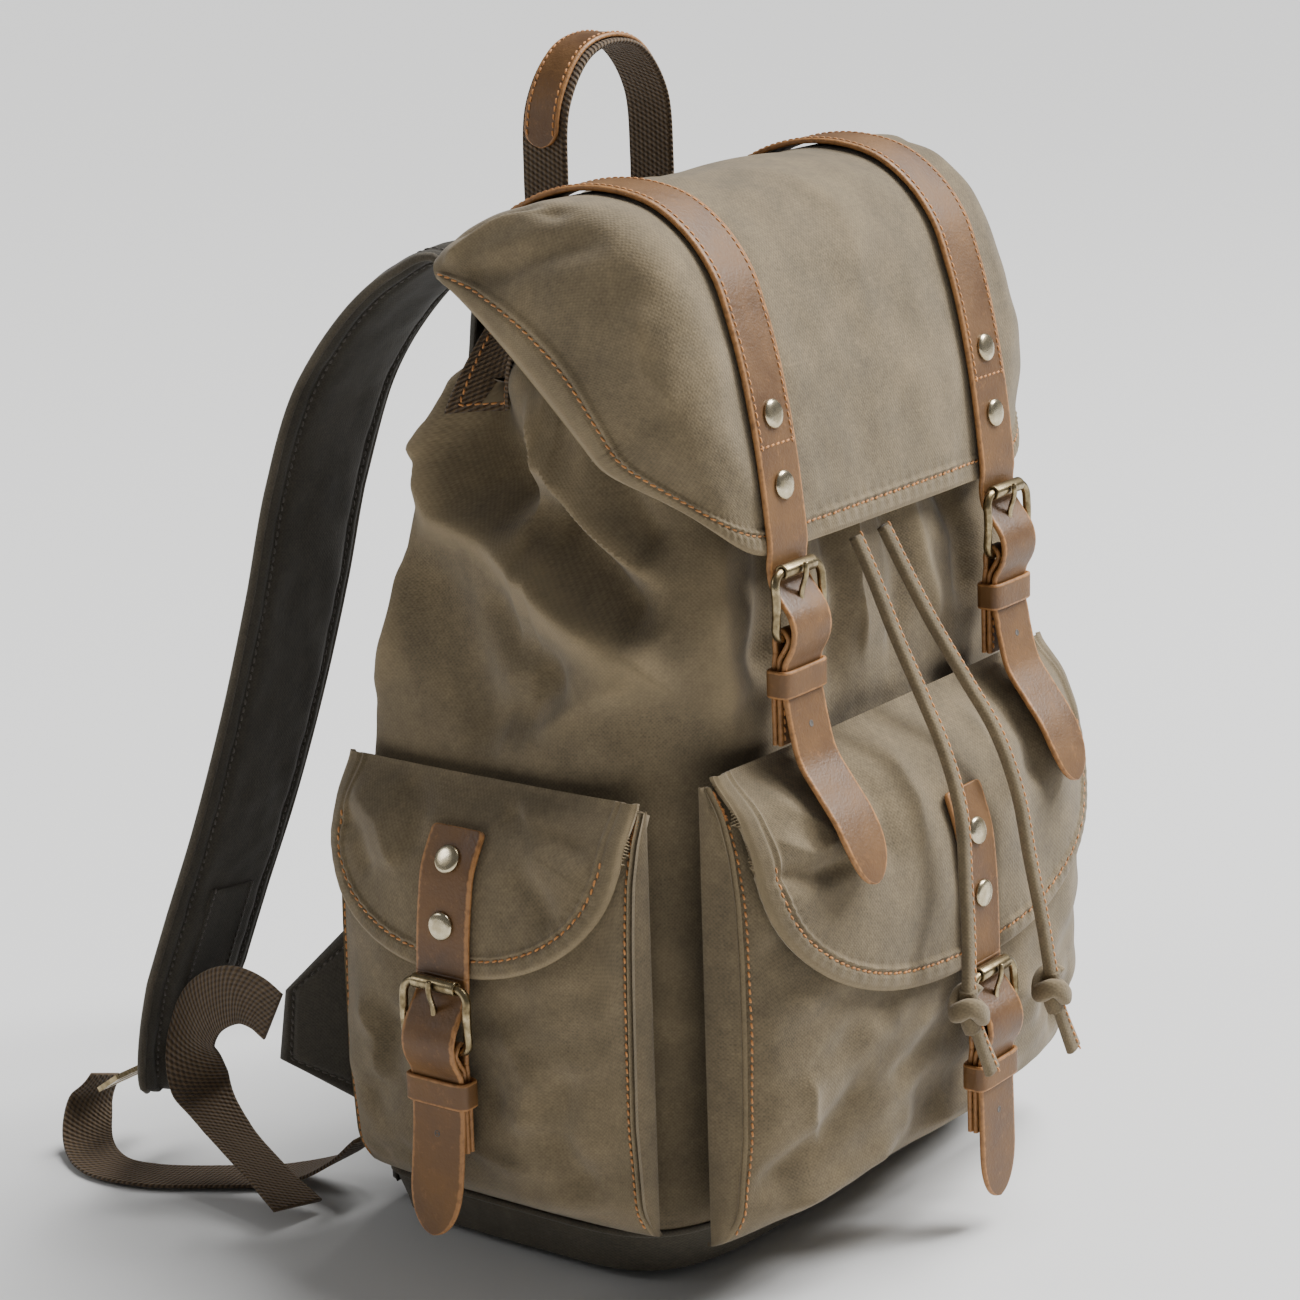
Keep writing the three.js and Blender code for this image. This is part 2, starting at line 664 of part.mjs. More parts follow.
// Drawcord ends hang from the gathered neck, each with a knot and a short cut end below it.
const CORDS = {
  left: [[-26, -100.6, 316], [-25, -108, 300], [-23, -118, 275], [-22, -130, 250], [-22, -142, 225],
    [-24, -151, 200], [-27, -155, 170], [-33, -160, 145], [-40, -164, 124]],
  right: [[-4, -100.6, 316], [0, -108, 298], [7, -118, 273], [14, -130, 248], [20, -142, 224],
    [25, -150, 196], [29, -154, 165], [33, -158, 135], [36, -161, 108]],
};

function drawcords() {
  for (const [side, route] of Object.entries(CORDS)) {
    const points = smooth(route, 26);
    const cord = bar(points, CORD_RADIUS, 8);
    const end = points.at(-1);
    const knot = new THREE.SphereGeometry(9, 10, 6).translate(end.x, end.y, end.z - 5);
    const tail = bar(
      smooth([[end.x, end.y, end.z - 8], [end.x + 6, end.y - 3, end.z - 22], [end.x + 11, end.y - 5, end.z - 36]], 5),
      4.5,
      8,
    );
    addMesh(backpack, `drawcord_${side}`, join(join(cord, knot), tail), 'canvas');
  }
}

addMesh(backpack, 'base_panel', basePanel(), 'canvas');
addMesh(backpack, 'body_shell', bodyShell(), 'canvas');
addMesh(backpack, 'back_pad', backPad(), 'padding');
addMesh(backpack, 'top_flap', topFlap(), 'canvas');
pockets();
mainStraps();
pocketStraps();
handle();
carrying();
drawcords();

export default backpack;
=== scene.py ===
import math

import bpy
import numpy as np
from mathutils import Matrix, Vector


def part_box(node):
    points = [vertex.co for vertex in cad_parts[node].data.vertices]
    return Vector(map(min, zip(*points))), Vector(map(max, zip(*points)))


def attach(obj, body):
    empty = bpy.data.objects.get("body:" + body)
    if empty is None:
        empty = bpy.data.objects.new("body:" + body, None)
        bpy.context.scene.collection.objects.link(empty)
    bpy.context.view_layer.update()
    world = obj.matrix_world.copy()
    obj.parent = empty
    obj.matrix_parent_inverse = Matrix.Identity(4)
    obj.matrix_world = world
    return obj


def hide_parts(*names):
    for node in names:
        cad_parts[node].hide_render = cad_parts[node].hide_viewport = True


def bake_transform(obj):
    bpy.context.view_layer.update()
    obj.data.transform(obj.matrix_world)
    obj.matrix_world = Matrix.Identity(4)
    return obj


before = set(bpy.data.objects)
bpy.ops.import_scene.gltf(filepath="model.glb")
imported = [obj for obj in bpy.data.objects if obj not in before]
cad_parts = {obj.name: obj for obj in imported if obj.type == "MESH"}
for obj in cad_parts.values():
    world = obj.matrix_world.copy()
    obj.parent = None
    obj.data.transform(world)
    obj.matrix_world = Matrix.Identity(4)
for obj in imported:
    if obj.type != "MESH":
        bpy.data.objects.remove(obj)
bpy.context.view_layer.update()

# Lengths in this script are millimetres until addMesh turns them into metres.
# +Z is up, -Y is the pocket side, +Y the wearer's side, and the bag stands on Z = 0.
millimetre = 0.001
shared = {
    "canvas": 2.4,
    "leather": 2.4,
    "gap": 0.4,
    "strapHalfWidth": 14.0,
    "middle": (0.0, 0.0, 250.0),
    "stitchLength": 2.7,
    "stitchRadius": 0.5,
}


# Shapes as whole arrays.

# Smooth curve through points: cubic pieces whose slope at each point weighs its two neighbours by
# the square root of their distance. Returns evenly spaced points.
def curveThrough(points, count, dense=60):
    p = np.asarray(points, float)
    step = np.sqrt(np.linalg.norm(np.diff(p, axis=0), axis=1))
    chord = np.diff(p, axis=0) / step[:, None]
    slope = np.empty_like(p)
    both = (p[2:] - p[:-2]) / (step[1:] + step[:-1])[:, None]
    slope[1:-1] = chord[:-1] - both + chord[1:]
    slope[0], slope[-1] = chord[0], chord[-1]
    t = np.linspace(0, 1, dense, endpoint=False)[None, :, None]
    h = step[:, None, None]
    a, b = p[:-1, None], p[1:, None]
    m, n = slope[:-1, None] * h, slope[1:, None] * h
    t2, t3 = t * t, t * t * t
    line = (2 * t3 - 3 * t2 + 1) * a + (t3 - 2 * t2 + t) * m + (3 * t2 - 2 * t3) * b + (t3 - t2) * n
    return spaced(np.vstack([line.reshape(-1, p.shape[1]), p[-1]]), count)


# The same line with points at shares of its length; shares are even unless they are given.
def spaced(line, count, shares=None):
    length = np.concatenate([[0], np.cumsum(np.linalg.norm(np.diff(line, axis=0), axis=1))])
    at = (np.linspace(0, 1, count) if shares is None else shares) * length[-1]
    return np.stack([np.interp(at, length, line[:, k]) for k in range(line.shape[1])], 1)


def lengthOf(line):
    return float(np.linalg.norm(np.diff(line, axis=0), axis=1).sum())


def unit(v):
    return v / np.maximum(np.linalg.norm(v, axis=-1, keepdims=True), 1e-9)


def tangentsOf(line):
    return unit(np.gradient(line, axis=0))


def smoothStep(low, high, value):
    t = np.clip((value - low) / (high - low), 0, 1)
    return t * t * (3 - 2 * t)


# A table of [position, value] rows read at any position, averaged over a short window so it has no kinks.
def readTable(table, at, window=9.0, column=1):
    rows = np.asarray(table, float)
    offsets = np.linspace(-window, window, 9)
    weights = np.cos(offsets / window * 1.35)
    total = sum(w * np.interp(at + o, rows[:, 0], rows[:, column]) for o, w in zip(offsets, weights))
    return total / weights.sum()


# Slow bumps over a surface: a sum of sine waves in seeded directions, about -1 to 1.
def waves(u, v, size, seed, count=7):
    pick = np.random.default_rng(seed)
    angle = pick.uniform(0, math.tau, count)
    rate = math.tau / (size * pick.uniform(0.7, 1.7, count))
    phase = pick.uniform(0, math.tau, count)
    total = sum(np.sin(r * (np.cos(a) * u + np.sin(a) * v) + f) for a, r, f in zip(angle, rate, phase))
    return total / math.sqrt(count)


# Distance from each (u, v) to a line of points, and the share of the line that is nearest.
def distanceToLine(u, v, line):
    line = np.asarray(line, float)
    best, share = np.full(np.shape(u), 1e9), np.zeros(np.shape(u))
    for i in range(len(line) - 1):
        ax, ay = line[i]
        dx, dy = line[i + 1] - line[i]
        t = np.clip(((u - ax) * dx + (v - ay) * dy) / (dx * dx + dy * dy), 0, 1)
        d = np.hypot(u - ax - t * dx, v - ay - t * dy)
        share = np.where(d < best, (i + t) / (len(line) - 1), share)
        best = np.minimum(best, d)
    return best, share


# A crease or ridge along a line: height times a bell across it, sharper on a ridge, fading at its ends.
def crease(u, v, line, width, height, fade=0.22):
    d, share = distanceToLine(u, v, line)
    ends = smoothStep(0, fade, share) * smoothStep(0, fade, 1 - share)
    bell = np.exp(-((d / width) ** 2)) if height < 0 else np.exp(-((d / width) ** 1.35) * 1.1)
    return height * bell * (0.12 + 0.88 * ends)


# Surface normals of place(u, v), from its slopes in both directions.
def normalsOf(place, u, v, step=0.6):
    across = place(u + step, v) - place(u - step, v)
    down = place(u, v + step) - place(u, v - step)
    return unit(np.cross(across, down))


def outwards(normals, points):
    away = np.einsum("...k,...k->...", normals, points - np.array(shared["middle"]))
    return normals * np.where(away.sum() < 0, -1.0, 1.0)


# Meshes.

# Corner numbers of a grid's quads; a closed grid joins its last column to its first.
def gridQuads(rows, columns, closed=False):
    r = np.arange(rows - 1)[:, None]
    c = np.arange(columns if closed else columns - 1)[None, :]
    n = (c + 1) % columns
    return np.stack([r * columns + c, r * columns + n, (r + 1) * columns + n, (r + 1) * columns + c], -1)


# Cloth coordinates in metres: length along each row and down each column, per face corner.
def gridUv(points, closed=False):
    loop = np.concatenate([points, points[:, :1]], 1) if closed else points
    across = np.cumsum(np.linalg.norm(np.diff(loop, axis=1), axis=2).mean(0))
    down = np.cumsum(np.linalg.norm(np.diff(loop, axis=0), axis=2).mean(1))
    u, v = np.meshgrid(np.concatenate([[0], across]), np.concatenate([[0], down]))
    uv = np.stack([u, v], -1) * millimetre
    return np.stack([uv[:-1, :-1], uv[:-1, 1:], uv[1:, 1:], uv[1:, :-1]], 2).reshape(-1, 4, 2)


# A mesh object from millimetre points. Faces that look towards the bag's middle are turned over.
def addMesh(name, points, quads, finish, uv=None, triangles=None, marks=None, turn=True):
    flat = points.reshape(-1, 3)
    quads = quads.reshape(-1, 4)
    uv = np.zeros((len(quads), 4, 2)) if uv is None else uv
    triangles = np.zeros((0, 3), int) if triangles is None else triangles
    a, b, c, d = (flat[quads[:, k]] for k in range(4))
    area = np.cross(c - a, d - b)
    if turn and np.einsum("ij,ij->", area, (a + c) / 2 - np.array(shared["middle"])) < 0:
        quads, triangles, uv = quads[:, ::-1], triangles[:, ::-1], uv[:, ::-1]
    mesh = bpy.data.meshes.new(name)
    mesh.from_pydata((flat * millimetre).tolist(), [], quads.tolist() + triangles.tolist())
    layer = mesh.uv_layers.new(name="cloth")
    corners = np.concatenate([uv.reshape(-1), np.zeros(len(triangles) * 6)])
    layer.data.foreach_set("uv", corners.astype(np.float32))
    for mark, values in (marks or {}).items():
        attribute = mesh.attributes.new(mark, "FLOAT", "POINT")
        attribute.data.foreach_set("value", np.broadcast_to(values, len(flat)).astype(np.float32))
    mesh.polygons.foreach_set("use_smooth", np.ones(len(mesh.polygons), bool))
    mesh.materials.append(finish)
    piece = bpy.data.objects.new(name, mesh)
    bpy.context.scene.collection.objects.link(piece)
    return piece


# A sheet from an open grid: it gets its thickness on the inner side and a softly rounded rim.
def addSheet(name, points, finish, thickness, marks=None):
    piece = addMesh(name, points, gridQuads(*points.shape[:2]), finish, gridUv(points), marks=marks)
    return thicken(piece, thickness)


def thicken(piece, thickness):
    wall = piece.modifiers.new("wall", "SOLIDIFY")
    wall.thickness = thickness * millimetre
    wall.offset = -1
    wall.use_even_offset = True
    rim = piece.modifiers.new("rim", "BEVEL")
    rim.width = thickness * 0.4 * millimetre
    rim.segments = 2
    rim.limit_method = "ANGLE"
    rim.angle_limit = math.radians(55)
    return piece


# A closed tube from a grid whose rows are rings, with a fan over each end unless it is a loop.
def addTube(name, rings, finish, loop=False, marks=None):
    rows, columns = rings.shape[:2]
    points = np.concatenate([rings, rings[:1]]) if loop else rings
    uv = gridUv(points, True)
    quads = gridQuads(points.shape[0], columns, True) % (rows * columns)
    if loop:
        return addMesh(name, rings, quads, finish, uv, marks=marks)
    hubs = np.stack([rings[0].mean(0), rings[-1].mean(0)])
    j = np.arange(columns)
    n = (j + 1) % columns
    last = (rows - 1) * columns
    first = np.stack([np.full(columns, rows * columns), n, j], 1)
    final = np.stack([np.full(columns, rows * columns + 1), last + j, last + n], 1)
    cloud = np.concatenate([rings.reshape(-1, 3), hubs])
    if marks:
        marks = {key: np.concatenate([np.ravel(value), [np.ravel(value)[0], np.ravel(value)[-1]]])
                 for key, value in marks.items()}
    return addMesh(name, cloud, quads, finish, uv, np.concatenate([first, final]), marks)


# Rings across a path: each point of the outline (a along the side direction, b along the normal).
def sweepRings(path, side, outline):
    along = tangentsOf(path)
    side = np.broadcast_to(np.asarray(side, float), path.shape)
    side = unit(side - along * np.einsum("ij,ij->i", side, along)[:, None])
    normal = np.cross(along, side)
    a, b = outline[..., 0], outline[..., 1]
    return path[:, None] + side[:, None] * a[..., None] + normal[:, None] * b[..., None], normal


# Outline of a flat strap: a rectangle with rounded edges, 2 x halfWidth by thickness.
def bandOutline(halfWidth, thickness, flats=17, rounds=5, crown=0.0):
    halfWidth = np.atleast_1d(np.asarray(halfWidth, float))[:, None]
    r = thickness / 2
    flat = np.linspace(-1, 1, flats)
    arc = np.linspace(-math.pi / 2, math.pi / 2, rounds + 2)[1:-1]
    inner = np.maximum(halfWidth - r, 0.05)
    a = np.concatenate([inner * flat, inner + r * np.cos(arc), -inner * flat, -inner - r * np.cos(arc)], 1)
    level = np.concatenate([-np.ones(flats), np.sin(arc), np.ones(flats), -np.sin(arc)])
    bulge = np.concatenate([-(1 - flat ** 2), 0 * arc, 1 - flat ** 2, 0 * arc]) * crown
    b = np.broadcast_to(r * level + bulge, a.shape)
    edge = np.concatenate([flat ** 40, np.ones(rounds), flat ** 40, np.ones(rounds)]) * 0.9
    return np.stack([a, b], -1), np.broadcast_to(edge, a.shape)


# A flat strap along a path. It carries its edge share, so leather can show paler cut edges.
def addBand(name, path, side, halfWidth, thickness, finish, crown=0.0):
    halfWidth = np.broadcast_to(np.asarray(halfWidth, float), (len(path),))
    outline, edge = bandOutline(halfWidth, thickness, crown=crown)
    rings, normal = sweepRings(path, side, outline)
    ends = np.zeros(len(path))
    ends[[0, -1]] = 1
    piece = addTube(name, rings, finish, marks={"edge": np.maximum(edge, ends[:, None])})
    return piece, normal


# A round wire along a path.
def addWire(name, path, radius, finish, loop=False, sides=20, side=(0, 1, 0)):
    angle = np.linspace(0, math.tau, sides, endpoint=False)
    radius = np.broadcast_to(np.asarray(radius, float), (len(path),))[:, None]
    outline = np.stack([radius * np.cos(angle), radius * np.sin(angle)], -1)
    if not loop:
        return addTube(name, sweepRings(path, side, outline)[0], finish)
    wrapped = np.concatenate([path[-2:], path, path[:2]])
    rings = sweepRings(wrapped, side, np.concatenate([outline[-2:], outline, outline[:2]]))[0]
    return addTube(name, rings[2:-2], finish, loop=True)


# Turned parts: a profile of (radius, height) rows spun about an axis at a centre.
def addTurned(name, profile, centre, axis, finish, sides=40):
    axis = unit(np.asarray(axis, float))
    other = unit(np.cross(axis, (0.31, 0.17, 0.93)))
    third = np.cross(axis, other)
    angle = np.linspace(0, math.tau, sides, endpoint=False)
    ring = other * np.cos(angle)[:, None] + third * np.sin(angle)[:, None]
    profile = np.asarray(profile, float)
    rings = np.asarray(centre) + profile[:, 0, None, None] * ring + profile[:, 1, None, None] * axis
    return addTube(name, rings, finish)


# Short rounded stitches laid end to end along a line, all in one mesh.
def stitchArrays(line, normal, pitch, lift, tilt=0.16):
    count = max(int(lengthOf(line) / pitch), 2)
    middle = spaced(line, count + 1)
    up = unit(spaced(np.concatenate([line, normal], 1), count + 1)[:, 3:])
    along = tangentsOf(middle)
    side = unit(np.cross(up, along))
    along = unit(along + side * tilt)
    s = np.array([-1, -0.82, -0.35, 0.35, 0.82, 1]) * shared["stitchLength"] / 2
    size = np.array([0.25, 0.8, 1, 1, 0.8, 0.25]) * shared["stitchRadius"]
    arch = np.array([-0.5, -0.1, 0.15, 0.15, -0.1, -0.5]) * shared["stitchRadius"]
    angle = np.linspace(0, math.tau, 6, endpoint=False)
    bend = (middle + up * lift)[:, None, None] + along[:, None, None] * s[None, :, None, None]
    across = side[:, None, None] * (size[:, None] * np.cos(angle))[None, :, :, None]
    rise = up[:, None, None] * ((size * 0.8)[:, None] * np.sin(angle) + arch[:, None])[None, :, :, None]
    return bend + across + rise


def addStitches(name, rows, finish):
    cloud = np.concatenate([row.reshape(-1, 6, 6, 3) for row in rows])
    one = gridQuads(6, 6, True).reshape(-1, 4)
    quads = (np.arange(len(cloud))[:, None, None] * 36 + one).reshape(-1, 4)
    ends = np.array([[0, 3, 2, 1], [0, 5, 4, 3], [30, 31, 32, 33], [30, 33, 34, 35]])
    quads = np.concatenate([quads, (np.arange(len(cloud))[:, None, None] * 36 + ends).reshape(-1, 4)])
    return addMesh(name, cloud, quads, finish, turn=False)


# Turns a shape made facing -Y to face the left or right of the bag.
def turned(points, facing):
    x, y, z = points[..., 0], points[..., 1], points[..., 2]
    if facing == "left":
        return np.stack([y, -x, z], -1)
    if facing == "right":
        return np.stack([-y, x, z], -1)
    return points


# Finishes.

def addNode(tree, kind, inputs=None, **settings):
    made = tree.nodes.new(kind)
    for key, value in settings.items():
        setattr(made, key, value)
    for key, value in (inputs or {}).items():
        if isinstance(value, bpy.types.NodeSocket):
            tree.links.new(value, made.inputs[key])
        else:
            made.inputs[key].default_value = value
    return made


def mathNode(tree, operation, a, b=0.0):
    return addNode(tree, "ShaderNodeMath", {0: a, 1: b}, operation=operation).outputs[0]


def mixColour(tree, share, a, b, blend="MIX"):
    made = addNode(tree, "ShaderNodeMix", {0: share, 6: a, 7: b}, data_type="RGBA", blend_type=blend)
    return made.outputs[2]


def noiseAt(tree, vector, scale, detail=2.0, roughness=0.5):
    inputs = {"Vector": vector, "Scale": scale, "Detail": detail, "Roughness": roughness}
    return addNode(tree, "ShaderNodeTexNoise", inputs).outputs[0]


def ramp(tree, value, low, high, toLow=0.0, toHigh=1.0):
    inputs = {"Value": value, "From Min": low, "From Max": high, "To Min": toLow, "To Max": toHigh}
    return addNode(tree, "ShaderNodeMapRange", inputs).outputs[0]


def startFinish(name, roughness, metallic=0.0, sheen=0.0):
    finish = bpy.data.materials.new(name)
    finish.use_nodes = True
    tree = finish.node_tree
    shader = tree.nodes["Principled BSDF"]
    shader.inputs["Roughness"].default_value = roughness
    shader.inputs["Metallic"].default_value = metallic
    shader.inputs["Sheen Weight"].default_value = sheen
    shader.inputs["Sheen Roughness"].default_value = 0.6
    return finish, tree, shader


def bumped(tree, shader, height, distance, strength, before=None):
    inputs = {"Height": height, "Distance": distance, "Strength": strength}
    if before is not None:
        inputs["Normal"] = before
    out = addNode(tree, "ShaderNodeBump", inputs).outputs[0]
    tree.links.new(out, shader.inputs["Normal"])
    return out


# Woven cloth: threads of uneven thickness both ways, crossing over and under, with a slow wash of colour.
def clothFinish(name, dark, light, pitch=0.0009, contrast=0.62, relief=0.4, wash=1.0):
    finish, tree, shader = startFinish(name, 0.9, sheen=0.12)
    uv = addNode(tree, "ShaderNodeUVMap", uv_map="cloth").outputs[0]
    place = addNode(tree, "ShaderNodeTexCoord").outputs["Object"]
    rate = 1 / pitch
    slubs = []
    for stretch in ((rate * 0.2, rate, 1), (rate, rate * 0.2, 1)):
        lean = addNode(tree, "ShaderNodeMapping", {"Vector": uv, "Scale": stretch}).outputs[0]
        slubs.append(noiseAt(tree, lean, 1.0, 2.0, 0.6))
    parts = addNode(tree, "ShaderNodeSeparateXYZ", {0: uv})
    waveU = mathNode(tree, "SINE", mathNode(tree, "MULTIPLY", parts.outputs[0], math.tau * rate / 2))
    waveV = mathNode(tree, "SINE", mathNode(tree, "MULTIPLY", parts.outputs[1], math.tau * rate / 2))
    over = mathNode(tree, "MULTIPLY", waveU, waveV)
    grain = noiseAt(tree, uv, rate * 0.8, 1.0)
    threads = mathNode(tree, "ADD", slubs[0], slubs[1])
    height = mathNode(tree, "ADD", threads, mathNode(tree, "MULTIPLY", over, 0.22))
    height = mathNode(tree, "ADD", height, mathNode(tree, "MULTIPLY", grain, 0.5))
    half = 0.42 * contrast
    share = ramp(tree, height, 0.85, 1.65, 0.5 - half, 0.5 + half)
    colour = mixColour(tree, share, (*dark, 1), (*light, 1))
    mottle = mathNode(tree, "ADD", noiseAt(tree, place, 9.0, 5.0, 0.62),
                      noiseAt(tree, place, 60.0, 4.0, 0.7))
    slow = ramp(tree, mottle, 0.72, 1.28, 1 - 0.3 * wash, 1 + 0.24 * wash)
    tone = addNode(tree, "ShaderNodeCombineColor", {0: slow, 1: slow, 2: slow}).outputs[0]
    colour = mixColour(tree, 1.0, colour, tone, "MULTIPLY")
    wear = addNode(tree, "ShaderNodeAttribute", attribute_name="wear").outputs["Fac"]
    pale = tuple(min(c * 1.45, 1) for c in light)
    colour = mixColour(tree, mathNode(tree, "MULTIPLY", wear, 0.5), colour, (*pale, 1))
    tree.links.new(colour, shader.inputs["Base Color"])
    crumple = noiseAt(tree, place, 55.0, 3.0, 0.55)
    first = bumped(tree, shader, crumple, 0.0016, 0.35)
    bumped(tree, shader, height, 0.00035, relief, first)
    return finish


# Coarse webbing: ribs across the strap that step sideways row by row.
def webbingFinish(name, dark, light, pitch=0.0024):
    finish, tree, shader = startFinish(name, 0.82, sheen=0.1)
    uv = addNode(tree, "ShaderNodeUVMap", uv_map="cloth").outputs[0]
    parts = addNode(tree, "ShaderNodeSeparateXYZ", {0: uv})
    rate = math.tau / pitch
    shift = mathNode(tree, "MULTIPLY", parts.outputs[0], rate * 0.5)
    ribs = mathNode(tree, "SINE",
                    mathNode(tree, "ADD", mathNode(tree, "MULTIPLY", parts.outputs[1], rate), shift))
    cords = mathNode(tree, "SINE", mathNode(tree, "MULTIPLY", parts.outputs[0], rate))
    weave = mathNode(tree, "ADD", ribs, mathNode(tree, "MULTIPLY", cords, 0.6))
    fuzz = noiseAt(tree, uv, 1500.0, 3.0, 0.7)
    height = mathNode(tree, "ADD", weave, mathNode(tree, "MULTIPLY", fuzz, 1.2))
    share = ramp(tree, height, -1.0, 2.2, 0.0, 1.0)
    colour = mixColour(tree, share, (*dark, 1), (*light, 1))
    tree.links.new(colour, shader.inputs["Base Color"])
    bumped(tree, shader, height, 0.0006, 0.8)
    return finish


# Waxed leather: cloudy colour, fine pores, scuffs, and a paler raw edge.
def leatherFinish(name, dark, mid, raw):
    finish, tree, shader = startFinish(name, 0.5)
    place = addNode(tree, "ShaderNodeTexCoord").outputs["Object"]
    cloud = noiseAt(tree, place, 28.0, 5.0, 0.62)
    colour = mixColour(tree, ramp(tree, cloud, 0.32, 0.68), (*dark, 1), (*mid, 1))
    scuff = ramp(tree, noiseAt(tree, place, 240.0, 4.0, 0.75), 0.58, 0.8, 0.0, 0.5)
    colour = mixColour(tree, scuff, colour, (*raw, 1))
    edge = addNode(tree, "ShaderNodeAttribute", attribute_name="edge").outputs["Fac"]
    fray = mathNode(tree, "ADD", edge, ramp(tree, noiseAt(tree, place, 400.0), 0.3, 0.7, -0.25, 0.25))
    colour = mixColour(tree, ramp(tree, fray, 0.45, 0.95), colour, (*raw, 1))
    tree.links.new(colour, shader.inputs["Base Color"])
    pores = addNode(tree, "ShaderNodeTexVoronoi", {"Vector": place, "Scale": 900.0}).outputs[0]
    tree.links.new(ramp(tree, cloud, 0.3, 0.7, 0.42, 0.62), shader.inputs["Roughness"])
    grain = mathNode(tree, "ADD", mathNode(tree, "MULTIPLY", pores, 0.4), noiseAt(tree, place, 500.0, 3.0))
    bumped(tree, shader, grain, 0.0004, 0.45)
    return finish


# Aged brass: dark in patches, brighter where it is rubbed.
def brassFinish(name, dark, bright, roughness):
    finish, tree, shader = startFinish(name, roughness, 1.0)
    place = addNode(tree, "ShaderNodeTexCoord").outputs["Object"]
    cloud = noiseAt(tree, place, 160.0, 4.0, 0.6)
    colour = mixColour(tree, ramp(tree, cloud, 0.35, 0.65), (*dark, 1), (*bright, 1))
    tree.links.new(colour, shader.inputs["Base Color"])
    tree.links.new(ramp(tree, cloud, 0.3, 0.7, roughness + 0.1, roughness - 0.08),
                   shader.inputs["Roughness"])
    bumped(tree, shader, noiseAt(tree, place, 700.0, 2.0), 0.0001, 0.3)
    return finish


def threadFinish(name, colour):
    finish, tree, shader = startFinish(name, 0.7, sheen=0.2)
    place = addNode(tree, "ShaderNodeTexCoord").outputs["Object"]
    share = ramp(tree, noiseAt(tree, place, 90.0, 3.0), 0.3, 0.7, 0.0, 1.0)
    deep = tuple(c * 0.6 for c in colour)
    tree.links.new(mixColour(tree, share, (*deep, 1), (*colour, 1)), shader.inputs["Base Color"])
    bumped(tree, shader, noiseAt(tree, place, 2500.0), 0.0002, 0.5)
    return finish


finishes = {
    "canvas": clothFinish("washedCanvas", (0.072, 0.053, 0.027), (0.225, 0.168, 0.09)),
    # The base's darker copy of the canvas is painted shade.
    "baseCanvasPaintedShade": clothFinish("baseCanvasPaintedShade", (0.03, 0.024, 0.014), (0.10, 0.082, 0.05)),
    "padCloth": clothFinish("padCloth", (0.014, 0.011, 0.007), (0.066, 0.055, 0.037), wash=0.7),
    "leather": leatherFinish("waxedLeather", (0.086, 0.037, 0.010), (0.176, 0.083, 0.023),
                             (0.36, 0.168, 0.055)),
    "webbing": webbingFinish("brownWebbing", (0.035, 0.019, 0.007), (0.15, 0.092, 0.04)),
    "brass": brassFinish("agedBrass", (0.15, 0.11, 0.055), (0.42, 0.34, 0.2), 0.3),
    "rivet": brassFinish("rivetBrass", (0.42, 0.35, 0.22), (0.66, 0.58, 0.42), 0.24),
    "thread": threadFinish("orangeThread", (0.62, 0.25, 0.055)),
    "darkThread": threadFinish("darkThread", (0.07, 0.055, 0.04)),
    "pipe": clothFinish("pipingCloth", (0.035, 0.028, 0.018), (0.11, 0.088, 0.056)),
}
print("finishes ready")


# The main compartment.

body = {
    # Height, half width in front and behind, front, back.
    "levels": [[5.4, 137, 137, 77, 81], [32, 147, 148, 89, 86], [120, 149, 150, 92, 86],
               [230, 149, 151, 92, 80],
               [285, 141, 151, 94, 68], [325, 116, 148, 87, 59], [365, 110, 142, 80, 50],
               [392, 106, 131, 73, 43],
               [412, 98, 108, 62, 34], [430, 86, 88, 50, 24]],
    "top": 430.0,
    "bottom": 5.4,
    "power": 4.6,
    "backPower": 11.0,
    "neckPower": 3.0,
    "ease": 14,
    "rows": 250,
    "columns": 330,
    "pleats": 26,
    "pleatDepth": 3.2,
    "wall": 2.4,
    "perimeter": 860.0,
    # Ridges and hollows on one side wall: (distance round from the front's middle, height) points.
    "sideFolds": [
        ([(296, 372), (272, 350), (258, 333), (228, 322), (190, 303), (155, 286), (128, 262)], 12, 14.0),
        ([(284, 402), (262, 374), (240, 350), (214, 338)], 17, -26.0),
        ([(214, 340), (190, 324), (164, 304), (144, 290)], 11, -20.0),
        ([(236, 392), (216, 362), (190, 342), (166, 326), (140, 306)], 7, 9.0),
        ([(296, 396), (290, 372), (284, 350)], 12, 7.0),
        ([(176, 372), (160, 340), (146, 322)], 9, -9.0),
        ([(266, 316), (240, 276), (226, 244)], 13, -8.5),
        ([(308, 340), (300, 290), (304, 244)], 11, -7.0),
        ([(282, 318), (274, 280), (276, 246)], 10, 4.0),
        ([(184, 276), (204, 256), (238, 240)], 9, -8.0),
        ([(150, 276), (176, 262), (200, 244)], 8, 3.5),
        ([(236, 306), (214, 284), (180, 272)], 9, -7.0),
    ],
    # Folds on the front, above the pocket: (distance across, height) points.
    "frontFolds": [
        ([(-124, 336), (-118, 290), (-106, 246)], 12, 7.0),
        ([(-88, 340), (-84, 300), (-90, 258)], 11, -8.0),
        ([(-62, 335), (-56, 292), (-64, 250)], 8, 4.0),
        ([(-36, 335), (-28, 288), (-36, 246)], 8, -5.5),
        ([(-8, 335), (-12, 292), (-2, 250)], 8, 3.5),
        ([(18, 335), (24, 290), (14, 250)], 9, -4.0),
        ([(46, 335), (42, 295), (54, 252)], 9, 4.0),
        ([(80, 338), (84, 296), (76, 256)], 10, -7.0),
        ([(122, 336), (116, 290), (108, 246)], 12, 6.0),
    ],
}
angleTable = np.linspace(-math.pi / 2, 1.5 * math.pi, 1441)


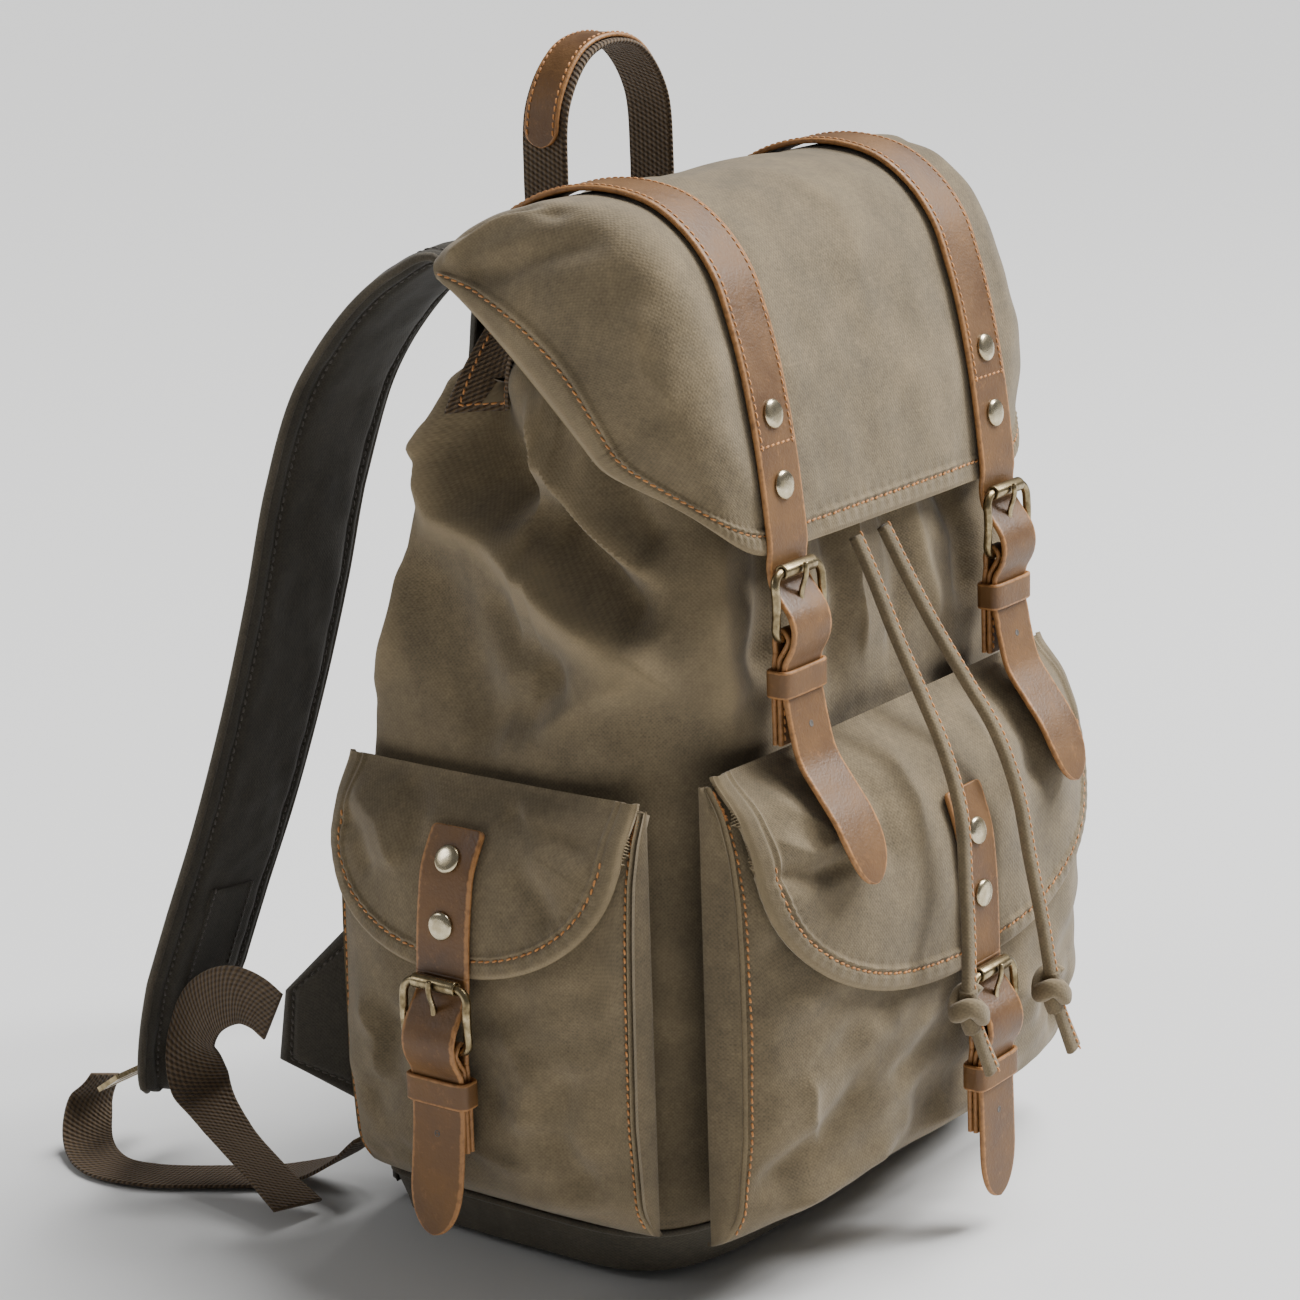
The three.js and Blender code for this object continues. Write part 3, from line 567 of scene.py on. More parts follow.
def superShape(angle, power):
    c, s = np.cos(angle), np.sin(angle)
    return np.sign(c) * np.abs(c) ** (2 / power), np.sign(s) * np.abs(s) ** (2 / power)


outlineX, outlineY = superShape(angleTable, body["power"])
outlineLine = np.stack([148 * outlineX, -7 + 85 * outlineY], 1)
outlineShare = np.concatenate([[0], np.cumsum(np.linalg.norm(np.diff(outlineLine, axis=0), axis=1))])
body["perimeter"] = float(outlineShare[-1])


# around is the distance round the bag from the middle of the front, positive towards +X.
def bodyPlace(around, height):
    angle = np.interp(np.mod(around, body["perimeter"]), outlineShare, angleTable)
    behind = smoothStep(0, 0.6, np.sin(angle))
    power = body["power"] + (body["backPower"] - body["power"]) * behind
    power = power + (body["neckPower"] - power) * smoothStep(360, 425, height)
    sx, sy = superShape(angle, power)
    rise = 0.5 + 0.5 * np.sin(angle)
    half = (1 - rise) * readTable(body["levels"], height, body["ease"],
                                  1) + rise * readTable(body["levels"], height,
                                                                                    14, 2)
    front = readTable(body["levels"], height, body["ease"], 3)
    back = readTable(body["levels"], height, body["ease"], 4)
    depth, middle = (front + back) / 2, (back - front) / 2
    nx = np.sign(sx) * np.abs(sx) ** (power - 1) / half
    ny = np.sign(sy) * np.abs(sy) ** (power - 1) / depth
    size = np.maximum(np.hypot(nx, ny), 1e-9)
    out = bodyRelief(around, height)
    return np.stack([half * sx + out * nx / size, middle + depth * sy + out * ny / size,
                     height + 0 * around], -1)


# How far the cloth stands out from its smooth shape: folds, gathers at the neck, and slow slack.
def bodyRelief(around, height):
    half = body["perimeter"] / 2
    signed = np.mod(around + half, body["perimeter"]) - half
    away = np.abs(signed)
    out = np.zeros(np.shape(away))
    shift = np.where(signed > 0, 7.0, 0.0)
    for line, width, depth in body["sideFolds"]:
        out = out + crease(away, height + shift, line, width, depth)
    for line, width, depth in body["frontFolds"]:
        out = out + crease(signed, height, line, width, depth)
    gather = smoothStep(335, body["top"], height)
    wander = 0.6 * waves(signed, height, 90, 3)
    out = out + body["pleatDepth"] * gather * np.sin(signed / body["perimeter"] * math.tau * body["pleats"]
                                                     + wander)
    slack = smoothStep(40, 120, height) * (1 - smoothStep(395, 428, height))
    out = out + slack * (1.5 * waves(signed, height, 95, 11) + 0.5 * waves(signed, height, 34, 12))
    onBack = smoothStep(half - 105, half - 75, away)
    return np.where(onBack > 0, np.minimum(out, 1.0) * (1 - onBack), out)


def makeBody():
    around = np.linspace(0, body["perimeter"], body["columns"], endpoint=False)
    height = np.linspace(body["bottom"], body["top"], body["rows"])
    u, v = np.meshgrid(around, height)
    points = bodyPlace(u, v)
    relief = bodyRelief(u, v)
    wear = np.clip(relief / 9, 0, 0.7)
    quads = gridQuads(*points.shape[:2], True)
    marks = {"wear": wear.ravel()}
    piece = addMesh("main_compartment", points, quads, finishes["canvas"], gridUv(points, True),
                    marks=marks)
    thicken(piece, body["wall"])
    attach(piece, "bag")
    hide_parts("body_shell")


# The base: a panel that runs from its middle out to the wall and up to a welt. It wears a darker copy of
# the canvas, which is painted shade.
def makeBase():
    base = {"top": 27.0, "lift": 0.7, "rows": 70, "columns": 260}
    around = np.linspace(0, body["perimeter"], base["columns"], endpoint=False)
    t = np.linspace(0, 1, base["rows"])[:, None]
    flat = np.clip(t / 0.62, 0, 1)
    rise = np.clip((t - 0.62) / 0.38, 0, 1)
    rim = bodyPlace(around[None, :] + 0 * t, body["bottom"] + (base["top"] - body["bottom"]) * rise)
    points = rim.copy()
    corner = np.where(rise > 0, 1.0, flat ** 0.8)
    points[..., 0] = rim[..., 0] * corner * 1.006
    points[..., 1] = rim[..., 1] * corner * 1.006
    points[..., 2] = np.where(rise > 0, rim[..., 2], 0.8 + 4.6 * flat ** 9)
    points[..., 2] += 0.5 * waves(points[..., 0], points[..., 1], 60,
                                  21) * (flat < 1) * (1 - flat) + 0.4 * (flat < 1)
    quads = gridQuads(*points.shape[:2], True)
    piece = addMesh("base", points, quads, finishes["baseCanvasPaintedShade"], gridUv(points, True),
                    marks={"wear": 0.0})
    thicken(piece, 1.4)
    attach(piece, "bag")
    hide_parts("base_panel")
    around = np.linspace(0, body["perimeter"], 300, endpoint=False)
    welt = bodyPlace(around, 0 * around + base["top"])
    welt[:, :2] *= 1.009
    ring = addWire("base_welt", welt, 1.5, finishes["pipe"], loop=True, sides=10, side=(0, 0, 1))
    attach(ring, "bag")


makeBody()
makeBase()
print("main compartment ready")


# Pockets and their lids.

pockets = {
    "front": {
        "facing": "front", "body": "bag", "lidBody": "front_lid",
        "back": 95.0, "half": 141.0, "floor": 28.0, "rim": 212.0, "lidTop": 237.0, "lidFoot": 124.0,
        "depth": [[28, 22], [45, 36], [80, 45], [124, 47], [160, 46], [185, 43], [205, 36], [222, 24],
                  [236, 3]],
        "shoulder": 0.34, "round": 2.3, "folds": [
            ([(-126, 52), (-100, 74), (-66, 92)], 9, -6.0), ([(-118, 40), (-84, 50), (-44, 50)], 7, 4.5),
            ([(-44, 62), (-6, 72), (34, 62)], 12, -5.5), ([(118, 50), (92, 74), (62, 92)], 9, -6.0),
            ([(-90, 122), (-56, 104), (-20, 108)], 12, 3.5), ([(36, 98), (70, 82), (108, 84)], 10, 4.0),
            ([(-20, 46), (24, 50), (70, 44)], 7, 3.5), ([(-112, 108), (-108, 84), (-96, 66)], 6, 3.5),
            ([(-60, 84), (-30, 92), (0, 88)], 8, -3.0),
        ],
        "lidFolds": [
            ([(-128, 197), (-104, 191), (-82, 193)], 4, -4.0),
            ([(-116, 228), (-94, 210), (-78, 184)], 8, 4.0),
            ([(-124, 212), (-106, 202), (-90, 204)], 5, 3.0),
            ([(-66, 234), (-56, 208), (-60, 180)], 9, -4.0),
            ([(-34, 234), (-32, 206), (-38, 182)], 8, 3.0), ([(34, 234), (38, 208), (34, 184)], 8, 3.0),
            ([(60, 234), (68, 208), (62, 184)], 9, -4.0), ([(116, 228), (96, 208), (84, 184)], 8, 4.0),
        ],
        "strapFrom": 203.0, "rivets": ["front_rivet_upper", "front_rivet_lower"],
    },
}
for sideName in ("left", "right"):
    pockets[f"side_{sideName}"] = {
        "facing": sideName, "body": "bag", "lidBody": f"side_{sideName}_lid",
        "back": 151.5, "half": 82.0, "floor": 34.0, "rim": 204.0, "lidTop": 228.0, "lidFoot": 150.0,
        "depth": [[34, 14], [50, 30], [90, 38], [147, 36], [173, 34], [195, 30], [212, 20], [227, 3]],
        "shoulder": 0.3, "round": 2.1, "folds": [
            ([(-66, 66), (-42, 96), (-34, 134)], 10, -6.0), ([(-34, 58), (6, 72), (40, 64)], 10, 4.5),
            ([(60, 52), (46, 84), (54, 122)], 8, -5.0), ([(22, 132), (38, 108), (32, 80)], 9, 4.0),
            ([(-70, 46), (-40, 56), (-8, 50)], 6, -4.5), ([(-20, 92), (4, 102), (28, 96)], 9, -3.5),
            ([(-58, 130), (-48, 108), (-52, 84)], 7, 3.5),
        ],
        "lidFolds": [
            ([(12, 219), (38, 213), (66, 207)], 4, -4.5), ([(-70, 218), (-44, 207), (-26, 188)], 7, 4.5),
            ([(20, 226), (42, 207), (68, 196)], 6, 4.0), ([(-42, 226), (-24, 212), (-20, 194)], 7, -3.6),
            ([(-72, 206), (-56, 198), (-44, 182)], 6, -3.5), ([(28, 200), (44, 190), (52, 176)], 6, -3.0),
        ],
        "strapFrom": 211.0, "rivets": [f"side_{sideName}_rivet_upper"],
    }


# Distance out from the bag's middle plane: the pocket's depth at a height, rounded off across.
def pouchOut(pocket, x, height, grow=0.0):
    share = np.clip(np.abs(x) / (pocket["half"] + grow), 0, 1)
    puff = 2.9
    return pocket["back"] + (readTable(pocket["depth"], height, 5) + grow) * (1
                                                                              - share ** puff) ** (1 / puff)


def foldSum(folds, u, v):
    return sum(crease(u, v, line, width, depth) for line, width, depth in folds)


# across runs -1 to 1 round the pouch; rise is 0 at its back edge below, 1 at the rim.
def pouchPlace(pocket, across, rise):
    angle = (across + 1) * math.pi / 2
    grow = -3.2
    x = -np.cos(angle) * (pocket["half"] + grow)
    knee = pocket["floor"] + 26
    bend = 0.17
    turn = np.clip(rise / bend, 0, 1) * math.pi / 2
    up = np.clip((rise - bend) / (1 - bend), 0, 1)
    rim = pocket["rim"] + (pocket["lidTop"] - 4 - pocket["rim"]) * smoothStep(0.62, 0.8, np.abs(across))
    height = np.where(rise < bend, knee - (knee - pocket["floor"] - 1) * np.cos(turn) ** 0.62,
                      knee + up * (rim - knee))
    full = pouchOut(pocket, x, height, grow) - pocket["back"]
    out = full * np.where(rise < bend, np.sin(turn) ** 0.62, 1.0)
    seam = 2.4 * np.exp(-(((np.abs(across) - 0.865) / 0.011) ** 2)) * smoothStep(0, bend, rise)
    face = smoothStep(0.04, 0.14, rise) * (1 - smoothStep(0.72, 0.86, np.abs(across)))
    relief = foldSum(pocket["folds"], x, height) + 1.3 * waves(x, height, 62, len(pocket["facing"]))
    relief = relief + 0.5 * waves(x, height, 26, 5)
    limit = smoothStep(pocket["rim"] + 4, pocket["rim"] - 40, height)
    out = out + seam + face * relief * (0.25 + 0.75 * limit)
    return np.stack([x, -pocket["back"] - np.maximum(out, 0.2), height], -1)


# A lid's flat cut: its lower edge hangs at a depth that rounds off towards both sides.
def lidDepth(pocket, share):
    full = pocket["lidTop"] - pocket["lidFoot"]
    bow = np.clip(1 - np.abs(share) ** pocket["round"], 0, 1) ** (1 / pocket["round"])
    return full * (pocket["shoulder"] + (1 - pocket["shoulder"]) * bow)


def lidEdge(pocket, count=241):
    angle = np.linspace(-math.pi / 2, math.pi / 2, count)
    share = np.sin(angle)
    half = pocket["half"] * 0.94
    line = np.stack([share * half, pocket["lidTop"] - lidDepth(pocket, share)], 1)
    left = np.array([[-half, pocket["lidTop"]]])
    right = np.array([[half, pocket["lidTop"]]])
    return np.concatenate([left, line, right])


# A folded hem: a raised band along the edge, a groove where it is sewn, and small puckers.
def hemRelief(away, along, width):
    band = 1.5 * (1 - smoothStep(width - 1.2, width + 0.6, away))
    groove = -1.1 * np.exp(-(((away - width + 2.6) / 1.1) ** 2))
    pucker = 0.35 * np.sin(along * math.tau / 9) * np.exp(-(((away - width + 3) / 5) ** 2))
    return band + groove + pucker - 1.4 * np.exp(-((away / 1.3) ** 2))


def lidPlace(pocket, x, height):
    away, share = distanceToLine(x, height, pocket["edge"])
    along = share * pocket["edgeLength"]
    out = pouchOut(pocket, x, height, shared["canvas"] / 2 + shared["gap"] + 1.0)
    under = np.exp(-((x / 19) ** 4))
    relief = foldSum(pocket["lidFolds"], x, height) + 0.9 * waves(x, height, 48, 40 + len(pocket["facing"]))
    relief = relief * smoothStep(0, 14, away) * (1 - under) * smoothStep(pocket["lidTop"],
                                                                         pocket["lidTop"] - 10, height)
    hem = hemRelief(away, along, 10.5) * (1 - 0.6 * under)
    return np.stack([x, -(out + relief * 0.9 + hem), height + 0 * x], -1)


# The line moved sideways to its own left by a distance.
def insetLine(line, distance):
    along = tangentsOf(line)
    inward = np.stack([-along[:, 1], along[:, 0]], 1)
    return line + inward * distance


def makePocket(name, pocket):
    facing = pocket["facing"]
    across = np.linspace(-1, 1, 250)
    rise = np.concatenate([np.linspace(0, 0.17, 34)[:-1], np.linspace(0.17, 1, 140)])
    u, v = np.meshgrid(across, rise)
    points = pouchPlace(pocket, u, v)
    wear = np.exp(-(((np.abs(u) - 0.865) / 0.012) ** 2)) * 0.7 + np.exp(-((v - 0.12) / 0.05) ** 2) * 0.25
    pouch = addSheet(f"{name}_pouch", turned(points, facing), finishes["canvas"], 2.0,
                     {"wear": wear.ravel()})
    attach(pouch, "bag")
    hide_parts(f"{name}_pocket")

    rows = []
    for sign in (-1, 1):
        line = np.linspace(0.1, 0.985, 160)
        seam = pouchPlace(pocket, 0 * line + sign * 0.825, line)
        up = normalsOf(lambda a, b: pouchPlace(pocket, a, b), 0 * line + sign * 0.825, line, 0.004)
        up = up * np.where(up[:, 1:2] > 0, -1, 1)
        rows.append(stitchArrays(turned(seam, facing), turned(up, facing), 3.7, 0.25))
        tack = pouchPlace(pocket, sign * 0.838 + np.array([-0.006, 0.006] * 8),
                          np.repeat(np.linspace(0.94, 0.985, 8), 2))
        rows.append(stitchArrays(turned(tack, facing), turned(np.tile((0.0, -1.0, 0.0), (16, 1)), facing),
                                 1.7, 0.8, 0.9))
    thread = addStitches(f"{name}_pouch_stitching", rows, finishes["thread"])
    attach(thread, "bag")

    pocket["edge"] = lidEdge(pocket)
    pocket["edgeLength"] = lengthOf(pocket["edge"])
    share = np.sin(np.linspace(-math.pi / 2, math.pi / 2, 190))
    down = 1 - (1 - np.linspace(0, 1, 110)) ** 1.25
    s, d = np.meshgrid(share, down)
    x = s * pocket["half"] * 0.94
    height = pocket["lidTop"] - d * lidDepth(pocket, s)
    points = lidPlace(pocket, x, height)
    away = distanceToLine(x, height, pocket["edge"])[0]
    wear = np.exp(-((away / 2.5) ** 2)) * 0.8 + 0.15 * np.exp(-((away - 9) / 2) ** 2)
    lid = addSheet(f"{name}_lid_cloth", turned(points, facing), finishes["canvas"], 2.2,
                   {"wear": wear.ravel()})
    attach(lid, pocket["lidBody"])
    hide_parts(f"{name}_lid")

    inner = insetLine(spaced(pocket["edge"][1:-1], 200), 7.6)
    inner = inner[inner[:, 1] < pocket["lidTop"] - 3]
    place = lidPlace(pocket, inner[:, 0], inner[:, 1])
    up = normalsOf(lambda a, b: lidPlace(pocket, a, b), inner[:, 0], inner[:, 1])
    up = up * np.where(up[:, 1:2] > 0, -1, 1)
    row = stitchArrays(turned(place, facing), turned(up, facing), 3.7, 0.3)
    thread = addStitches(f"{name}_lid_stitching", [row], finishes["thread"])
    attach(thread, pocket["lidBody"])


for pocketName, pocketData in pockets.items():
    makePocket(pocketName, pocketData)
print("pockets ready")


# The top flap.

flap = {
    "line": [[33, 443], [28, 449], [14, 457], [-4, 463], [-26, 465], [-52, 459], [-74, 440], [-86, 412],
             [-94, 380],
             [-99, 350], [-102, 322]],
    "sideBack": (28, 434), "sideFront": (-82, 331),
    "halfCloth": 165.0,
    "hem": 11.0,
    "rows": 230, "columns": 300,
    # Folds as (distance across, distance down the front) points on the flat cloth.
    "folds": [
        ([(-150, 8), (-120, 34), (-104, 70)], 7, 3.6), ([(-158, 24), (-140, 60), (-112, 100)], 8, -4.5),
        ([(-120, 4), (-108, 40), (-112, 76)], 6, -3.4), ([(-62, 10), (-40, 44), (-34, 84)], 10, 2.2),
        ([(150, 10), (124, 40), (108, 80)], 8, 3.4), ([(158, 30), (138, 70), (116, 110)], 8, -4.2),
        ([(-60, 12), (-20, 16), (30, 10)], 6, -1.6), ([(40, 18), (52, 60), (46, 100)], 12, -2.2),
        ([(-120, 120), (-130, 150), (-118, 176)], 10, 2.6), ([(-10, 60), (10, 110), (4, 150)], 16, 1.8),
    ],
}
flapMiddle = curveThrough(flap["line"], 400)
flap["length"] = lengthOf(flapMiddle)


# across is in millimetres on the flat cloth, down is the distance from the hinge along the middle line.
def flapSmooth(across, down):
    share = np.clip(down / flap["length"], -0.01, 1.01)
    at = np.clip(share, 0, 1) * (len(flapMiddle) - 1)
    lineY = np.interp(at, np.arange(len(flapMiddle)), flapMiddle[:, 0])
    lineZ = np.interp(at, np.arange(len(flapMiddle)), flapMiddle[:, 1])
    slopeDown = smoothStep(0.72, 1, share)
    shoulder = 112 - 20 * slopeDown
    reach = 143 - 21 * slopeDown
    edgeX = 140 - 22 * slopeDown
    edgeY = flap["sideBack"][0] + (flap["sideFront"][0] - flap["sideBack"][0]) * share
    edgeZ = flap["sideBack"][1] + (flap["sideFront"][1] - flap["sideBack"][1]) * np.clip(share, 0,
                                                                                         2) ** 1.15
    size = np.abs(across) / flap["halfCloth"]
    side = np.sign(across)
    split = 0.55
    t = np.clip((size - split) / (1 - split), 0, 1.05)
    a, b, c = (1 - t) ** 2, 2 * t * (1 - t), t ** 2
    flatX = shoulder * np.minimum(size, split) / split
    x = np.where(size <= split, flatX, a * shoulder + b * reach + c * edgeX)
    return np.stack([side * x, (a + b) * lineY + c * edgeY, (a + b) * lineZ + c * edgeZ], -1)


# The front edge sits higher towards the corners, so each corner is one round sweep.
def flapLimit(across):
    size = np.clip((np.abs(across) / flap["halfCloth"] - 0.5) / 0.5, 0, 1)
    return flap["length"] * (1 - 0.3 * (1 - np.sqrt(1 - size ** 2.4)))


def flapEdge():
    angle = np.linspace(-math.pi / 2, math.pi / 2, 221)
    across = np.sin(angle) * flap["halfCloth"]
    line = np.stack([across, flapLimit(across)], 1)
    ends = np.array([[-flap["halfCloth"], 0.0]]), np.array([[flap["halfCloth"], 0.0]])
    return np.concatenate([ends[0], line, ends[1]])


flap["edge"] = flapEdge()


def flapRelief(across, down):
    away, share = distanceToLine(across, down, flap["edge"])
    underStrap = np.exp(-(((np.abs(across) - 68) / 17) ** 4))
    relief = foldSum(flap["folds"], across, down) + 0.9 * waves(across, down, 90,
                                                                61) + 0.35 * waves(across, down, 30, 62)
    relief = relief * smoothStep(2, 20, away) * (1 - underStrap) - 0.5 * underStrap
    hem = hemRelief(away, share * 700, flap["hem"]) * (1 - 0.7 * underStrap)
    return relief * smoothStep(0, 14, down) + hem * smoothStep(0, 10, down), away


def flapPlace(across, down):
    smooth = flapSmooth(across, down)
    normal = outwards(normalsOf(flapSmooth, across, down), smooth)
    return smooth + normal * (flapRelief(across, down)[0] + 1.0)[..., None]


# The flap's cloth, and the stitching along its hem.
def makeFlap():
    across = np.sin(np.linspace(-math.pi / 2, math.pi / 2, flap["columns"])) * flap["halfCloth"]
    share = 1 - (1 - np.linspace(0, 1, flap["rows"])) ** 1.2
    u, t = np.meshgrid(across, share)
    v = t * flapLimit(u)
    points = flapPlace(u, v)
    relief, away = flapRelief(u, v)
    wear = np.exp(-((away / 2.6) ** 2)) * 0.8 + np.clip(relief / 8, 0, 0.5)
    piece = addSheet("flap_cloth", points, finishes["canvas"], 2.4, {"wear": wear.ravel()})
    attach(piece, "flap")
    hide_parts("top_flap")
    line = insetLine(spaced(flap["edge"], 420), -8.2)
    line = line[line[:, 1] > 6]
    place = flapPlace(line[:, 0], line[:, 1])
    up = outwards(normalsOf(flapPlace, line[:, 0], line[:, 1]), place)
    thread = addStitches("flap_stitching", [stitchArrays(place, up, 3.7, 0.3)], finishes["thread"])
    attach(thread, "flap")


makeFlap()
print("flap ready")


# Leather straps with their buckles.

buckle = {
    "wire": 1.9, "halfWidth": 17.0, "drop": 28.0, "corner": 6.0, "roller": 3.2, "rollerLength": 23.0,
    # Strap through the buckle as (out, height) from the upper bar: behind it, over the fixed bar, down.
    "threaded": [[-4.9, 4], [-4.9, 0], [-3.6, -6], [0.6, -12], [5, -18], [6.8, -24], [6.3, -29.5],
                 [4.7, -33.5],
                 [2.2, -38], [1.4, -42], [1.4, -46]],
    "chape": [[-4.4, -74], [-4.4, -44], [-3.4, -34], [-3.3, -28], [0, -24.4], [3.4, -28], [1.5, -32.5],
              [-1.2, -37], [-1.6, -41], [-1.6, -74]],
    "keeper": {"low": -53.0, "high": -41.0, "halfWidth": 15.5, "inner": -6.2, "outer": 4.2,
               "thickness": 1.9},
    "mainTail": [[1.6, -52.6], [2.6, -57], [4.4, -66], [8.5, -80], [17, -92], [26, -104], [33, -118],
                 [37, -131]],
}


# Half width of a strap with a rounded tip over its last stretch, and a plain end where it starts.
def tipWidth(line, half, tip):
    left = lengthOf(line) * (1 - np.linspace(0, 1, len(line)))
    past = np.clip(1 - left / tip, 0, 1)
    return np.maximum(half * np.sqrt(1 - past ** 2.2), 0.4)


def atBuckle(points, x, bar, facing):
    points = np.asarray(points, float)
    if points.shape[-1] == 2:
        points = np.stack([0 * points[..., 0], points[..., 0], points[..., 1]], -1)
    local = np.stack([x + points[..., 0], -(bar[0] + points[..., 1]), bar[1] + points[..., 2]], -1)
    return turned(local, facing)


# Straps are sampled more closely near their ends, so that a tip is round.
def endShares(count):
    t = np.linspace(0, 1, count)
    return t - 0.1 * np.sin(2 * math.pi * t) / math.pi


def makeRivet(name, centre, up, body, nodeName=None):
    profile = [[0.05, -0.3], [6.0, -0.3], [6.15, 0.1], [6.1, 0.7], [5.75, 1.25], [5.0, 1.6], [3.2, 1.85],
               [1.2, 1.95],
               [0.05, 1.97]]
    piece = addTurned(name, profile, centre, up, finishes["rivet"], 44)
    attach(piece, body)
    if nodeName:
        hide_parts(nodeName)
    return piece


# Two rows of stitching near a strap's edges, joined across at the far end if it is asked for.
def edgeStitches(line, side, normal, inset, half, lift, crossEnd=False):
    along = tangentsOf(line)
    sideways = np.broadcast_to(np.asarray(side, float), line.shape)
    sideways = unit(sideways - along * np.einsum("ij,ij->i", sideways, along)[:, None])
    rows = [stitchArrays(line + sideways * s * (half - inset), normal, 3.4, lift) for s in (-1, 1)]
    if crossEnd:
        ends = np.stack([line[-1] + sideways[-1] * s * (half - inset) for s in np.linspace(-1, 1, 12)])
        rows.append(stitchArrays(ends, np.tile(normal[-1], (12, 1)), 3.4, lift))
    return rows


def makeBuckle(label, bodyName, x, bar, facing):
    corner, half, drop = buckle["corner"], buckle["halfWidth"], buckle["drop"]
    turns = np.linspace(0, math.pi / 2, 12)
    parts = []
    for cx, cz, start in ((half - corner, -corner, 0), (corner - half, -corner, 90),
                          (corner - half, corner - drop, 180), (half - corner, corner - drop, 270)):
        angle = turns + math.radians(start)
        parts.append(np.stack([cx + corner * np.cos(angle), 0 * angle, cz + corner * np.sin(angle)], 1))
    loop = spacedLoop(np.concatenate(parts), 140)
    bow = 1.1 * np.clip(np.abs(loop[:, 0]) / half, 0, 1) ** 3
    loop[:, 1] = bow * np.sin((loop[:, 2] + drop) / drop * math.pi)
    ring = addWire(f"{label}_frame", atBuckle(loop, x, bar, facing), buckle["wire"], finishes["brass"],
                   loop=True,
                   side=turned(np.array([0.0, 1.0, 0.0]), facing))
    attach(ring, bodyName)
    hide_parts(f"{label}_buckle_frame")

    long, outer = buckle["rollerLength"] / 2, buckle["roller"]
    profile = [[1.9, -long + 0.2], [2.6, -long], [outer - 0.1, -long + 0.15], [outer, -long + 0.7],
               [outer, long - 0.7],
               [outer - 0.1, long - 0.15], [2.6, long], [1.9, long - 0.2], [1.85, 0], [1.9, -long + 0.2]]
    axis = turned(np.array([1.0, 0.0, 0.0]), facing)
    centre = atBuckle(np.zeros((1, 3)), x, bar, facing)[0]
    roller = addTurnedLoop(f"{label}_roller", profile[:-1], centre, axis, finishes["brass"])
    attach(roller, f"{label}_roller")
    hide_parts(f"{label}_buckle_roller")

    finger = curveThrough([[0, -2.4, -drop + 1.5], [0, -2.2, -18], [0, -2.2, -10], [0, -4.3, -3.4],
                           [0, -4.7, 0],
                           [0, -4.4, 2.6]], 50)
    finger[:, 1] *= -1
    width = 1.75 - 0.5 * np.linspace(0, 1, 50)
    width[-4:] *= np.array([0.98, 0.9, 0.7, 0.35])
    tongue, _ = addBand(f"{label}_tongue", atBuckle(finger, x, bar, facing), axis, width, 2.1,
                        finishes["brass"])
    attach(tongue, f"{label}_tongue")
    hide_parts(f"{label}_buckle_tongue")
    low = atBuckle(np.array([[0.0, 0.0, -drop]]), x, bar, facing)[0]
    eyeProfile = [[1.8, -2], [2.6, -2.15], [3.1, -1.6], [3.15, 0], [3.1, 1.6], [2.6, 2.15], [1.8, 2]]
    eye = addTurnedLoop(f"{label}_tongue_eye", eyeProfile, low, axis, finishes["brass"])
    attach(eye, f"{label}_tongue")


def spacedLoop(line, count):
    closed = np.concatenate([line, line[:1]])
    return spaced(closed, count + 1)[:-1]


# A turned ring: its profile closes on itself away from the axis.
def addTurnedLoop(name, profile, centre, axis, finish, sides=36):
    axis = unit(np.asarray(axis, float))
    other = unit(np.cross(axis, (0.31, 0.17, 0.93)))
    third = np.cross(axis, other)
    angle = np.linspace(0, math.tau, sides, endpoint=False)
    ring = other * np.cos(angle)[:, None] + third * np.sin(angle)[:, None]
    profile = np.asarray(profile, float)
    points = np.asarray(centre) + ring[:, None] * profile[None, :, 0, None] + axis * profile[None, :, 1,
                                                                                             None]
    return addTube(name, points, finish, loop=True)


